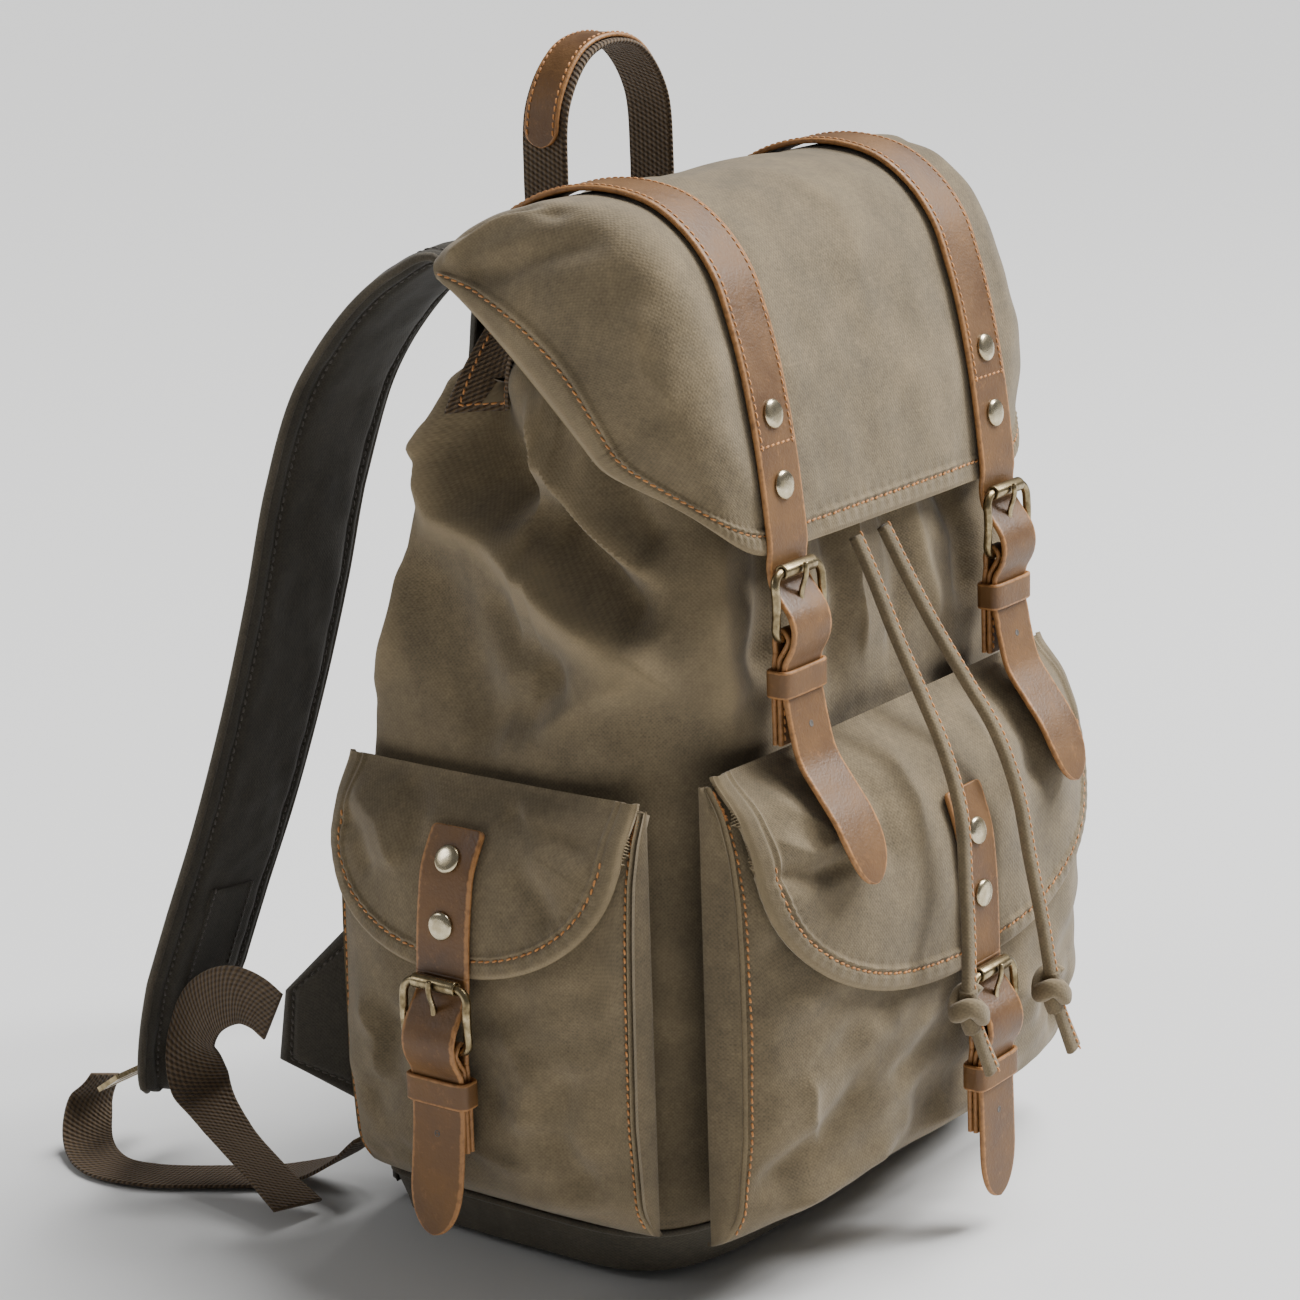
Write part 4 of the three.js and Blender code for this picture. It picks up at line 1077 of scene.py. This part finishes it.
# The folded leaf that holds the fixed bar, open in its middle for the tongue, and the keeper round it.
def makeChape(label, bodyName, x, bar, facing):
    line = curveThrough(buckle["chape"], 160)
    height = line[:, 1]
    half = shared["strapHalfWidth"] - 1
    open_ = np.nonzero(height > -34.5)[0]
    first, last = open_[0], open_[-1]
    side = turned(np.array([1.0, 0.0, 0.0]), facing)
    spans = [(0, first + 1, 0.0, half), (last, len(line), 0.0, half), (first, last + 1, -8.9, 4.1),
             (first, last + 1, 8.9, 4.1)]
    for number, (start, stop, offset, width) in enumerate(spans):
        part = line[start:stop]
        points = np.stack([0 * part[:, 0] + offset, part[:, 0], part[:, 1]], 1)
        leaf, _ = addBand(f"{label}_chape_{number}", atBuckle(points, x, bar, facing), side, width, 2.2,
                          finishes["leather"])
        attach(leaf, bodyName)
        if number == 0:
            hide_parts(f"{label}_chape")
    part = line[(np.arange(len(line)) > last) & (height < -56) & (height > -71)]
    rows = []
    for offset in (-half + 2.4, half - 2.4):
        points = np.stack([0 * part[:, 0] + offset, part[:, 0] + 1.2, part[:, 1]], 1)
        up = np.tile(turned(np.array([0.0, -1.0, 0.0]), facing), (len(part), 1))
        rows.append(stitchArrays(atBuckle(points, x, bar, facing), up, 3.2, 0.1))
    thread = addStitches(f"{label}_chape_stitching", rows, finishes["thread"])
    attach(thread, bodyName)

    keeper = buckle["keeper"]
    middle = (keeper["inner"] + keeper["outer"]) / 2
    deep = (keeper["outer"] - keeper["inner"]) / 2
    angle = np.linspace(0, math.tau, 72, endpoint=False)
    sx, sy = superShape(angle, 5.5)
    ring = np.stack([keeper["halfWidth"] * sx, middle + deep * sy,
                     0 * angle + (keeper["low"] + keeper["high"]) / 2], 1)
    ring = spacedLoop(ring, 90)
    outline, edge = bandOutline(np.full(90, (keeper["high"] - keeper["low"]) / 2), keeper["thickness"])
    path = atBuckle(ring, x, bar, facing)
    wrapped = np.concatenate([path[-2:], path, path[:2]])
    rings, _ = sweepRings(wrapped, (0, 0, 1), np.concatenate([outline[-2:], outline, outline[:2]]))
    loop = addTube(f"{label}_keeper", rings[2:-2], finishes["leather"], loop=True,
                   marks={"edge": edge.ravel()})
    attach(loop, bodyName)


# One strap: above the buckle, through it and below it, with a punched hole drawn as a dark disc of painted
# shade, and a rounded tip.
def makeStrap(label, bodyName, x, facing, above, below, rivetHeights, blendTo=None, stitched=None):
    bar = barOf(label, facing)
    threaded = [[bar[0] + out, bar[1] + height] for out, height in buckle["threaded"]]
    below = [[bar[0] + out, bar[1] + height] for out, height in below]
    outAndHeight = curveThrough(list(above) + threaded + below, 420)
    outAndHeight = spaced(outAndHeight, 300, endShares(300))
    path = turned(np.stack([x + 0 * outAndHeight[:, 0], -outAndHeight[:, 0], outAndHeight[:, 1]], 1),
                  facing)
    side = turned(np.array([1.0, 0.0, 0.0]), facing)
    width = tipWidth(path, shared["strapHalfWidth"], 30)
    width[:6] = shared["strapHalfWidth"] * np.array([0.86, 0.93, 0.97, 0.985, 0.995, 1])
    strap, normal = addBand(f"{label}_strap_leather", path, side, width, shared["leather"],
                            finishes["leather"], 0.12)
    outward = turned(np.array([0.0, -1.0, 0.0]), facing)
    normal = normal * np.where(normal @ outward < -0.2, -1, 1)[:, None]
    if np.einsum("ij,j->i", normal, outward).sum() < 0:
        normal = -normal
    if blendTo:
        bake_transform(strap)
        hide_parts(f"{label}_strap", f"{label}_strap_tail")
    else:
        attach(strap, bodyName)
        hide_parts(f"{label}_strap")
    for nodeName, height in rivetHeights:
        i = int(np.argmin(np.abs(path[:240, 2] - height) + 1e3 * (path[:240, 2] < bar[1])))
        up = unit(np.cross(tangentsOf(path)[i], side))
        up = up if up @ outward > 0 else -up
        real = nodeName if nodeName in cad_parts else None
        makeRivet(f"{nodeName}_cap", path[i] + up * 1.5, up, bodyName, real)
    # The punched hole is not cut: a dark disc laid on the leather paints the shade inside it.
    hole = int(np.argmin(np.abs(path[:, 2] - (bar[1] - 66)) - 1e-3 * np.arange(len(path))))
    up = unit(np.cross(tangentsOf(path)[hole], side))
    up = up if up @ outward > 0 else -up
    holeShadeDisc = addTurned(f"{label}_hole_shade_disc",
                       [[0.02, 0.0], [1.1, 0.0], [1.35, 0.12], [1.5, 0.02], [1.5, -0.2], [0.02, -0.2]],
                       path[hole] + up * (shared["leather"] / 2 + 0.12), up, finishes["darkThread"], 20)
    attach(holeShadeDisc, blendTo or bodyName)
    if stitched:
        part = path[(path[:, 2] > stitched) & (np.arange(len(path)) < 240)]
        part = part[3:]
        up = unit(np.cross(tangentsOf(part), side))
        up = outwards(up, part)
        rows = edgeStitches(part, side, up, 3.0, shared["strapHalfWidth"], shared["leather"] / 2 + 0.1,
                            True)
        thread = addStitches(f"{label}_strap_stitching", rows, finishes["thread"])
        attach(thread, bodyName)
    makeBuckle(label, bodyName, x, bar, facing)
    makeChape(label, bodyName, x, bar, facing)


# The upper bar's distance out and height, from the middle of the roller that turns on it.
def barOf(label, facing):
    low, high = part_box(f"{label}_buckle_roller")
    middle = [(a + b) / 2 / millimetre for a, b in zip(low, high)]
    return (abs(middle[0]) if facing != "front" else -middle[1], middle[2])


def flapStrapLine():
    lift = 1.3 + 2 * shared["gap"] + shared["leather"] / 2
    line = spaced(flapMiddle, 300)
    along = tangentsOf(line)
    at = (0.06 + 0.93 * np.linspace(0, 1, 13)) * (len(line) - 1)
    y, z = (np.interp(at, np.arange(300), line[:, k]) for k in (0, 1))
    ty, tz = (np.interp(at, np.arange(300), along[:, k]) for k in (0, 1))
    return np.stack([-(y + tz * lift), z - ty * lift], 1).tolist()


def lidStrapLine(pocket):
    heights = pocket["strapFrom"] + (pocket["lidFoot"] - 1
                                     - pocket["strapFrom"]) * np.array([0, 0.1, 0.25, 0.45, 0.7, 1])
    lift = 2.6 * 1.5 + 2 * shared["gap"] + shared["leather"] / 2
    return np.stack([pouchOut(pocket, 0 * heights, heights, lift - 1), heights], 1).tolist()


for sideName, sign in (("left", -1), ("right", 1)):
    makeStrap(f"flap_{sideName}", "flap", sign * 84.0, "front", flapStrapLine(), buckle["mainTail"],
              [(f"flap_{sideName}_rivet_upper", 379), (f"flap_{sideName}_rivet_lower", 350)],
              blendTo=f"tail_{sideName}", stitched=366)
makeStrap("front", "front_lid", 0.0, "front", lidStrapLine(pockets["front"]),
          [[1.8, -60], [2.4, -80], [3, -107]],
          [("front_rivet_upper", 184), ("front_rivet_lower", 156)])
for sideName in ("left", "right"):
    makeStrap(f"side_{sideName}", f"side_{sideName}_lid", 0.0, sideName,
              lidStrapLine(pockets[f"side_{sideName}"]),
              [[1.8, -60], [4, -80], [9, -110]],
              [(f"side_{sideName}_rivet_upper", 199), (f"side_{sideName}_rivet_lower", 172)])
print("straps ready")


# Handle, pads, webbing and belt.

handle = {
    "arch": [[-38, 49, 434], [-39, 49, 462], [-36, 49, 492], [-20, 49, 512], [0, 49, 517], [20, 49, 512],
             [36, 49, 492], [39, 49, 462], [38, 49, 434]],
    "centre": (0, 49, 470.0), "halfWidth": 12.0, "thick": 2.6,
    "gripShares": (5 / 26, 21 / 26), "gripHalf": 9.2, "gripThick": 2.0, "gripLift": 2.7,
}


def makeHandle():
    arch = curveThrough(handle["arch"], 120)
    webbing, _ = addBand("handle_band", arch, (0, 1, 0), handle["halfWidth"], handle["thick"],
                         finishes["webbing"])
    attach(webbing, "handle")
    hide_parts("handle_webbing")
    share = np.linspace(*handle["gripShares"], 110)
    grip = spaced(arch, 110, share)
    middle = np.array(handle["centre"])
    inner = grip + unit(grip - middle) * handle["gripLift"]
    end = np.minimum(np.arange(110), np.arange(110)[::-1]) / 7.0
    half = handle["gripHalf"] * np.sqrt(1 - np.clip(1 - end, 0, 1) ** 2.2).clip(0.15, 1)
    leather, _ = addBand("handle_leather", inner, (0, 1, 0), half, handle["gripThick"], finishes["leather"])
    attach(leather, "handle")
    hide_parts("handle_grip")
    part = inner[5:-5]
    rows = edgeStitches(part, (0, 1, 0), unit(part - middle), 2.2, handle["gripHalf"], 1.15, True)
    thread = addStitches("handle_stitching", rows, finishes["thread"])
    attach(thread, "handle")


carry = {
    "padPath": [[52, 68, 421], [54, 80, 430], [60, 100, 420], [68, 120, 400], [76, 138, 370],
                [88, 148, 326],
                [98, 155, 276], [108, 164, 226], [118, 177, 173], [126, 193, 124], [132, 208, 78],
                [136, 220, 36]],
    "padHalf": 32.0, "padThick": 11.0,
    "webbing": [[140, 259, 33], [146, 264, 20], [158, 256, 7], [170, 234, 3], [168, 208, 2.8],
                [152, 178, 2.8],
                [134, 150, 4], [128, 122, 16], [127, 104, 32]],
    "webbingSides": [[1, 0, 0], [0.9, 0.4, 0.1], [0.7, 0.7, 0], [1, 0.1, 0], [0.9, -0.5, 0], [0.8, -0.6, 0],
                     [0.9, -0.4, 0], [1, 0, 0], [1, 0, 0]],
    "belt": [[152, 136, 91], [152, 146, 96], [152, 160, 97], [151, 180, 86], [150, 190, 68], [151, 186, 48],
             [154, 168, 31], [159, 142, 18], [165, 116, 8]],
    "beltSides": [[0, 0.3, 1], [0, 0.2, 1], [0, 0, 1], [0, 0.6, 0.9], [0.3, 0.7, 0.5], [0.7, 0.5, 0.4],
                  [1, 0.2, 0.3], [1, 0, 0.2], [1, 0.1, 0.1]],
    "wing": [[130, 98, 142], [130, 98, 50], [149, 134, 72], [149, 128, 106]],
}


def sidesAlong(sides, count, sign):
    at = np.linspace(0, len(sides) - 1, count)
    table = np.asarray(sides, float) * [sign, 1, 1]
    return np.stack([np.interp(at, np.arange(len(sides)), table[:, k]) for k in range(3)], 1)


# A shoulder pad: a crowned strap whose cross-section thins at a sewn line and ends in a bound edge.
def makeShoulder(sideName, sign):
    mirror = np.array([sign, 1, 1])
    bodyName = f"shoulder_{sideName}"
    path = curveThrough(np.array(carry["padPath"]) * mirror, 190)
    share = np.linspace(0, 1, 190)
    left = (1 - share) * lengthOf(path)
    half = carry["padHalf"] * (0.5 + 0.5 * np.sqrt(np.clip(left / 60, 0, 1)))
    angle = np.linspace(0, math.tau, 84, endpoint=False)
    sx, sy = superShape(angle, 2.6)
    reach = np.abs(sx)[None, :] * half[:, None]
    sewn = 0.42 * np.exp(-(((reach - half[:, None] + 7) / 2.0) ** 2))
    slack = 0.08 * waves(reach * np.sign(sx), left[:, None] + 0 * reach, 40,
                         71) + 0.05 * waves(reach, left[:, None], 17, 72)
    thick = carry["padThick"] / 2 * (1 - sewn + slack)
    outline = np.stack([half[:, None] * sx[None, :], thick * sy[None, :]], -1)
    rings, normal = sweepRings(path, (1, 0, 0), outline)
    pad = addTube(f"shoulder_{sideName}_padding", rings, finishes["padCloth"], marks={"wear": 0.0 * reach})
    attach(pad, bodyName)
    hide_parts(f"shoulder_{sideName}_pad")
    along = tangentsOf(path)
    side = unit(np.array([1.0, 0, 0]) - along * along[:, :1])
    rows = []
    for edge in (-1, 1):
        rim = path + side * edge * (half + 0.2)[:, None]
        piping = addWire(f"shoulder_{sideName}_piping_{'inner' if edge * sign < 0 else 'outer'}", rim, 2.0,
                         finishes["pipe"], sides=12)
        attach(piping, bodyName)
        for face in (-1, 1):
            seam = path + side * edge * (half - 7)[:, None] + normal * face * 3.0
            rows.append(stitchArrays(seam[4:-4], normal[4:-4] * face, 3.9, 0.5))
    patch = path[-46:-8]
    for face in (-1, 1):
        tab, _ = addBand(f"shoulder_{sideName}_tab_{'inner' if face < 0 else 'outer'}",
                         patch + normal[-46:-8] * face * 5.4, (1, 0, 0), 15.0, 1.4, finishes["padCloth"])
        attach(tab, bodyName)
        rows += edgeStitches(patch + normal[-46:-8] * face * 5.6, (1, 0, 0), normal[-46:-8] * face, 2.0,
                             15.0, 0.7, True)
        makeRivet(f"shoulder_{sideName}_rivet_{'inner' if face < 0 else 'outer'}",
                  path[-24] + normal[-24] * face * 6.1, normal[-24] * face, bodyName)
    thread = addStitches(f"shoulder_{sideName}_stitching", rows, finishes["darkThread"])
    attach(thread, bodyName)

    line = curveThrough(np.array(carry["webbing"]) * mirror, 150)
    band, _ = addBand(f"shoulder_{sideName}_band", line, sidesAlong(carry["webbingSides"], 150, sign), 12.0,
                      1.8,
                      finishes["webbing"])
    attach(band, "bag")
    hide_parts(f"shoulder_{sideName}_webbing")
    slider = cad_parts[f"shoulder_{sideName}_slider"]
    slider.data.materials.clear()
    slider.data.materials.append(finishes["brass"])


def makeBelt(sideName, sign):
    mirror = np.array([sign, 1, 1])
    line = curveThrough(np.array(carry["belt"]) * mirror, 150)
    band, _ = addBand(f"belt_{sideName}_band", line, sidesAlong(carry["beltSides"], 150, sign), 14.0, 1.8,
                      finishes["webbing"])
    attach(band, "bag")
    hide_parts(f"belt_{sideName}_webbing")
    a, b, c, d = (np.array(p, float) for p in carry["wing"])
    s, t = np.meshgrid(np.linspace(0, 1, 46), np.linspace(0, 1, 60))
    s, t = s[..., None], t[..., None]
    middle = (1 - s) * ((1 - t) * a + t * b) + s * ((1 - t) * d + t * c)
    middle = (middle + np.array([3.5, -1.2, 0])) * mirror
    rim = np.minimum(np.minimum(s, 1 - s) * 46, np.minimum(t, 1 - t) * 70)
    half = 3.4 * np.sqrt(np.clip(1 - (1 - np.clip(rim / 5, 0, 1)) ** 2, 0.02, 1))
    half = half * (1 - 0.45 * np.exp(-(((rim - 6) / 1.6) ** 2)))
    flat = unit(np.cross((d - a) * mirror, (b - a) * mirror))
    outer, inner = middle + flat * half, middle - flat * half
    ring = np.concatenate([outer, inner[:, ::-1]], 1)
    wing = addTube(f"belt_{sideName}_padding", ring, finishes["padCloth"],
                   marks={"wear": np.zeros(ring.shape[:2])})
    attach(wing, "bag")
    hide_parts(f"belt_{sideName}_wing")
    inset = 0.13
    corners = [((1 - u) * ((1 - v) * a + v * b) + u * ((1 - v) * d + v * c) + np.array([3.5, -1.2, 0]))
               * mirror
               for u, v in ((0.04, inset * 0.7), (1 - inset, inset * 0.7), (1 - inset, 1 - inset * 0.7),
                            (0.04, 1 - inset * 0.7))]
    rows = []
    for face in (-1, 1):
        edge = spaced(np.array(corners), 80)
        rows.append(stitchArrays(edge + flat * face * 2.3, np.tile(flat * face, (80, 1)), 3.9, 0.2))
    thread = addStitches(f"belt_{sideName}_stitching", rows, finishes["darkThread"])
    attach(thread, "bag")


backPad = {
    # Height, distance behind the bag's middle.
    "rows": [[12, 87], [120, 87], [230, 80], [290, 68], [335, 57], [380, 48], [424, 42]],
    "bottom": 12.0, "top": 424.0, "halfWidth": 128, "taper": 32, "thick": 9.0, "cover": 1.4,
    "column": 42.0, "crossChannels": (105.0, 200.0, 295.0), "channelWidth": 3.2,
}


# The back panel: soft blocks between sewn channels, thin at its bound edge.
def makeBackPad():
    bottom, top = backPad["bottom"], backPad["top"]
    s, t = np.meshgrid(np.linspace(-1, 1, 190), np.linspace(0, 1, 260))
    height = bottom + (top - bottom) * t
    half = backPad["halfWidth"] - backPad["taper"] * smoothStep(290, 380, height)
    x = s * half
    rim = np.minimum((1 - np.abs(s)) * half, np.minimum(height - bottom, top - height))
    crown = 1 - (1 - np.clip(rim / 13, 0, 1)) ** 2
    channels = np.zeros_like(x)
    for at in (-backPad["column"], backPad["column"]):
        channels = np.maximum(channels, np.exp(-(((x - at) / backPad["channelWidth"]) ** 2)))
    for at in backPad["crossChannels"]:
        across = np.exp(-(((height - at) / backPad["channelWidth"]) ** 2)) * (np.abs(x) > backPad["column"])
        channels = np.maximum(channels, across)
    block = 1 - 0.62 * channels
    slack = 0.5 * waves(x, height, 60, 81) + 0.25 * waves(x, height, 22, 82)
    deep = (backPad["thick"]
            - backPad["cover"]) * np.sqrt(np.clip(crown, 0, 1)) * block + slack * crown * (1 - channels)
    y = readTable(backPad["rows"], height, 10) + 1.2 + np.clip(deep, 0.3, backPad["thick"])
    points = np.stack([x, y, height], -1)
    pad = addSheet("back_padding", points, finishes["padCloth"], 1.2, {"wear": 0 * x.ravel()})
    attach(pad, "bag")
    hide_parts("back_pad")
    rows = []
    line = np.linspace(22, 414, 160)
    up = np.tile((0.0, 1.0, 0.0), (160, 1))
    for at in (-backPad["column"], backPad["column"]):
        depth = readTable(backPad["rows"], line, 10) + 1.2 + (backPad["thick"] - backPad["cover"]) * 0.38
        rows.append(stitchArrays(np.stack([0 * line + at, depth, line], 1), up, 3.9, 0.4))
    thread = addStitches("back_stitching", rows, finishes["darkThread"])
    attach(thread, "bag")


neckTab = {"low": 374.0, "high": 411.0, "near": 246.0, "far": 289.0, "lift": 3.6, "thick": 1.6}


# The webbing tab sewn flat on each side of the neck, and its stitched border.
def makeNeckTab(sideName, sign):
    s, t = np.meshgrid(np.linspace(neckTab["near"], neckTab["far"], 40),
                       np.linspace(neckTab["low"], neckTab["high"], 34))
    points = bodyPlace(sign * s, t)
    # A stiff webbing does not follow every pleat: it is the quadratic in s and t nearest to the cloth.
    x, z = (s - s.mean()) / 20, (t - t.mean()) / 20
    terms = np.stack([np.ones_like(x), x, z, x * x, x * z, z * z], -1).reshape(-1, 6)
    flat = terms @ np.linalg.lstsq(terms, points.reshape(-1, 3), rcond=None)[0]
    points = flat.reshape(points.shape)
    up = np.cross(np.gradient(points, axis=1), np.gradient(points, axis=0))
    up = outwards(up / np.linalg.norm(up, axis=-1, keepdims=True), points)
    tab = addSheet(f"neck_tab_{sideName}", points + up * neckTab["lift"], finishes["webbing"],
                   neckTab["thick"])
    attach(tab, "bag")
    rows = np.r_[np.full(28, 3), np.arange(3, 31), np.full(28, 30), np.arange(30, 2, -1)]
    columns = np.r_[np.linspace(3, 36, 28), np.full(28, 36), np.linspace(36, 3, 28),
                    np.full(28, 3)].astype(int)
    line = points[rows, columns]
    up = up[rows, columns]
    border = [stitchArrays(line + up * neckTab["lift"], up, 3.5, 0.2)]
    thread = addStitches(f"neck_tab_{sideName}_stitching", border, finishes["thread"])
    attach(thread, "bag")


makeHandle()
makeBackPad()
for sideName, sign in (("left", -1), ("right", 1)):
    makeShoulder(sideName, sign)
    makeBelt(sideName, sign)
    makeNeckTab(sideName, sign)
print("carrying parts ready")


# Drawcords.

drawcords = {
    "left": [[-26, -100.6, 316], [-25, -108, 300], [-23, -118, 275], [-22, -130, 250], [-22, -142, 225],
             [-24, -151, 200], [-27, -155, 170], [-33, -160, 145], [-40, -164, 124]],
    "right": [[-4, -100.6, 316], [0, -108, 298], [7, -118, 273], [14, -130, 248], [20, -142, 224],
              [25, -150, 196], [29, -154, 165], [33, -158, 135], [36, -161, 108]],
}


# An overhand knot's lumps: one strip wound once round itself, and the cut end that hangs below it.
def makeDrawcord(sideName, route):
    path = curveThrough(route, 130)
    angle = np.linspace(0, math.tau, 24, endpoint=False)
    sx, sy = superShape(angle, 2.6)
    outline = np.broadcast_to(np.stack([3.5 * sx, 2.6 * sy], -1), (130, 24, 2))
    rings, normal = sweepRings(path, (1, 0, 0), outline)
    cord = addTube(f"drawcord_{sideName}_line", rings, finishes["canvas"],
                   marks={"wear": np.full((130, 24), 0.15)})
    bodyName = f"cord_{sideName}"
    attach(cord, bodyName)
    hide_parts(f"drawcord_{sideName}")
    front = normal * np.where(normal[:, 1:2] > 0, -1, 1)
    end = path[-1]
    t = np.linspace(0, 1, 120)
    turn = t * math.tau * 1.25
    wind = np.stack([6.6 * np.cos(turn), 5.4 * np.sin(turn), -1.5 - 8.0 * t + 2.4 * np.sin(2 * turn)], 1)
    knotPath = end + wind
    outline = np.broadcast_to(np.stack([4.3 * sx, 3.4 * sy], -1), (120, 24, 2))
    knot = addTube(f"drawcord_{sideName}_knot", sweepRings(knotPath, (0.2, 0.1, 1), outline)[0],
                   finishes["canvas"],
                   marks={"wear": np.full((120, 24), 0.25)})
    core = curveThrough(end + np.array([[0, 0, 3], [0.6, 0.4, -4], [0.4, 0, -11], [2, -1, -16]]), 30)
    outline = np.broadcast_to(np.stack([3.9 * sx, 3.6 * sy], -1), (30, 24, 2))
    coreTube = addTube(f"drawcord_{sideName}_knot_core", sweepRings(core, (1, 0, 0), outline)[0],
                       finishes["canvas"],
                       marks={"wear": np.full((30, 24), 0.1)})
    tail = curveThrough(end + np.array([[0.5, 0, -7], [3, -1.5, -14], [6.5, -3, -24], [11, -5, -36.5]]), 50)
    grow = np.linspace(0.8, 1.28, 50)[:, None]
    outline = np.stack([3.7 * sx * grow, 2.6 * sy * (0.9 + 0 * grow)], -1)
    tailRings, tailNormal = sweepRings(tail, (1, 0, 0), outline)
    tailTube = addTube(f"drawcord_{sideName}_end", tailRings, finishes["canvas"],
                       marks={"wear": np.full((50, 24), 0.2)})
    for piece in (knot, coreTube, tailTube):
        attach(piece, bodyName)
    tailFront = tailNormal * np.where(tailNormal[:, 1:2] > 0, -1, 1)
    rows = [stitchArrays(path + np.array([1.2, 0, 0]), front, 3.6, 2.55),
            stitchArrays(tail[8:] + np.array([1.2, 0, 0]), tailFront[8:], 3.6, 2.5)]
    thread = addStitches(f"drawcord_{sideName}_stitching", rows, finishes["thread"])
    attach(thread, bodyName)


for sideName, route in drawcords.items():
    makeDrawcord(sideName, route)
print("drawcords ready")


# Camera, light and floor.

view = {
    "location": (-1247, -899, 663), "target": (0, 0, 220), "roll": -1.57,
    "lens": 97.34, "shift": (-0.0417, 0.0422),
}
studio = {
    # Name, place in metres, size, power.
    "lamps": [("key", (1.7, -1.6, 1.9), 0.7, 62), ("rim", (-1.6, 1.9, 1.5), 1.0, 10)],
    "skyFrom": (0.75, -0.4, 1.5), "skyStrength": 5.6, "skySpread": 40, "air": 0.16,
    "floor": (0.74, 0.74, 0.735, 1), "reach": 12.0,
}


def addCamera():
    data = bpy.data.cameras.new("camera")
    data.lens = view["lens"]
    data.sensor_width = 36
    data.shift_x, data.shift_y = view["shift"]
    data.clip_start, data.clip_end = 0.05, 50
    camera = bpy.data.objects.new("camera", data)
    bpy.context.scene.collection.objects.link(camera)
    place = Vector(view["location"]) * millimetre
    look = (Vector(view["target"]) * millimetre - place).to_track_quat("-Z", "Y")
    camera.matrix_world = Matrix.Translation(place) @ look.to_matrix().to_4x4() @ Matrix.Rotation(
        math.radians(view["roll"]), 4, "Z")
    bpy.context.scene.camera = camera


def addLight(name, place, size, power):
    data = bpy.data.lights.new(name, "AREA")
    data.shape = "DISK"
    data.size = size
    data.energy = power
    lamp = bpy.data.objects.new(name, data)
    bpy.context.scene.collection.objects.link(lamp)
    at = Vector(place)
    look = (Vector((0, 0, 0.25)) - at).to_track_quat("-Z", "Y")
    lamp.matrix_world = Matrix.Translation(at) @ look.to_matrix().to_4x4()


# One wide, even light from above, so that the floor is as pale far off as it is near.
def addSky(direction, strength):
    data = bpy.data.lights.new("sky", "SUN")
    data.energy = strength
    data.angle = math.radians(studio["skySpread"])
    lamp = bpy.data.objects.new("sky", data)
    bpy.context.scene.collection.objects.link(lamp)
    lamp.matrix_world = (-Vector(direction)).to_track_quat("-Z", "Y").to_matrix().to_4x4()


def addStage():
    mesh = bpy.data.meshes.new("floor")
    reach = studio["reach"]
    mesh.from_pydata([(-reach, -reach, 0), (reach, -reach, 0), (reach, reach, 0), (-reach, reach, 0)], [],
                     [(0, 1, 2, 3)])
    finish, _, shader = startFinish("paleFloor", 0.9)
    shader.inputs["Base Color"].default_value = studio["floor"]
    mesh.materials.append(finish)
    floor = bpy.data.objects.new("floor", mesh)
    bpy.context.scene.collection.objects.link(floor)
    world = bpy.data.worlds.new("studio")
    world.use_nodes = True
    world.node_tree.nodes["Background"].inputs["Color"].default_value = (1, 1, 1, 1)
    world.node_tree.nodes["Background"].inputs["Strength"].default_value = studio["air"]
    bpy.context.scene.world = world


addCamera()
addStage()
for name, place, size, power in studio["lamps"]:
    addLight(name, place, size, power)
addSky(studio["skyFrom"], studio["skyStrength"])
print("camera and light ready")
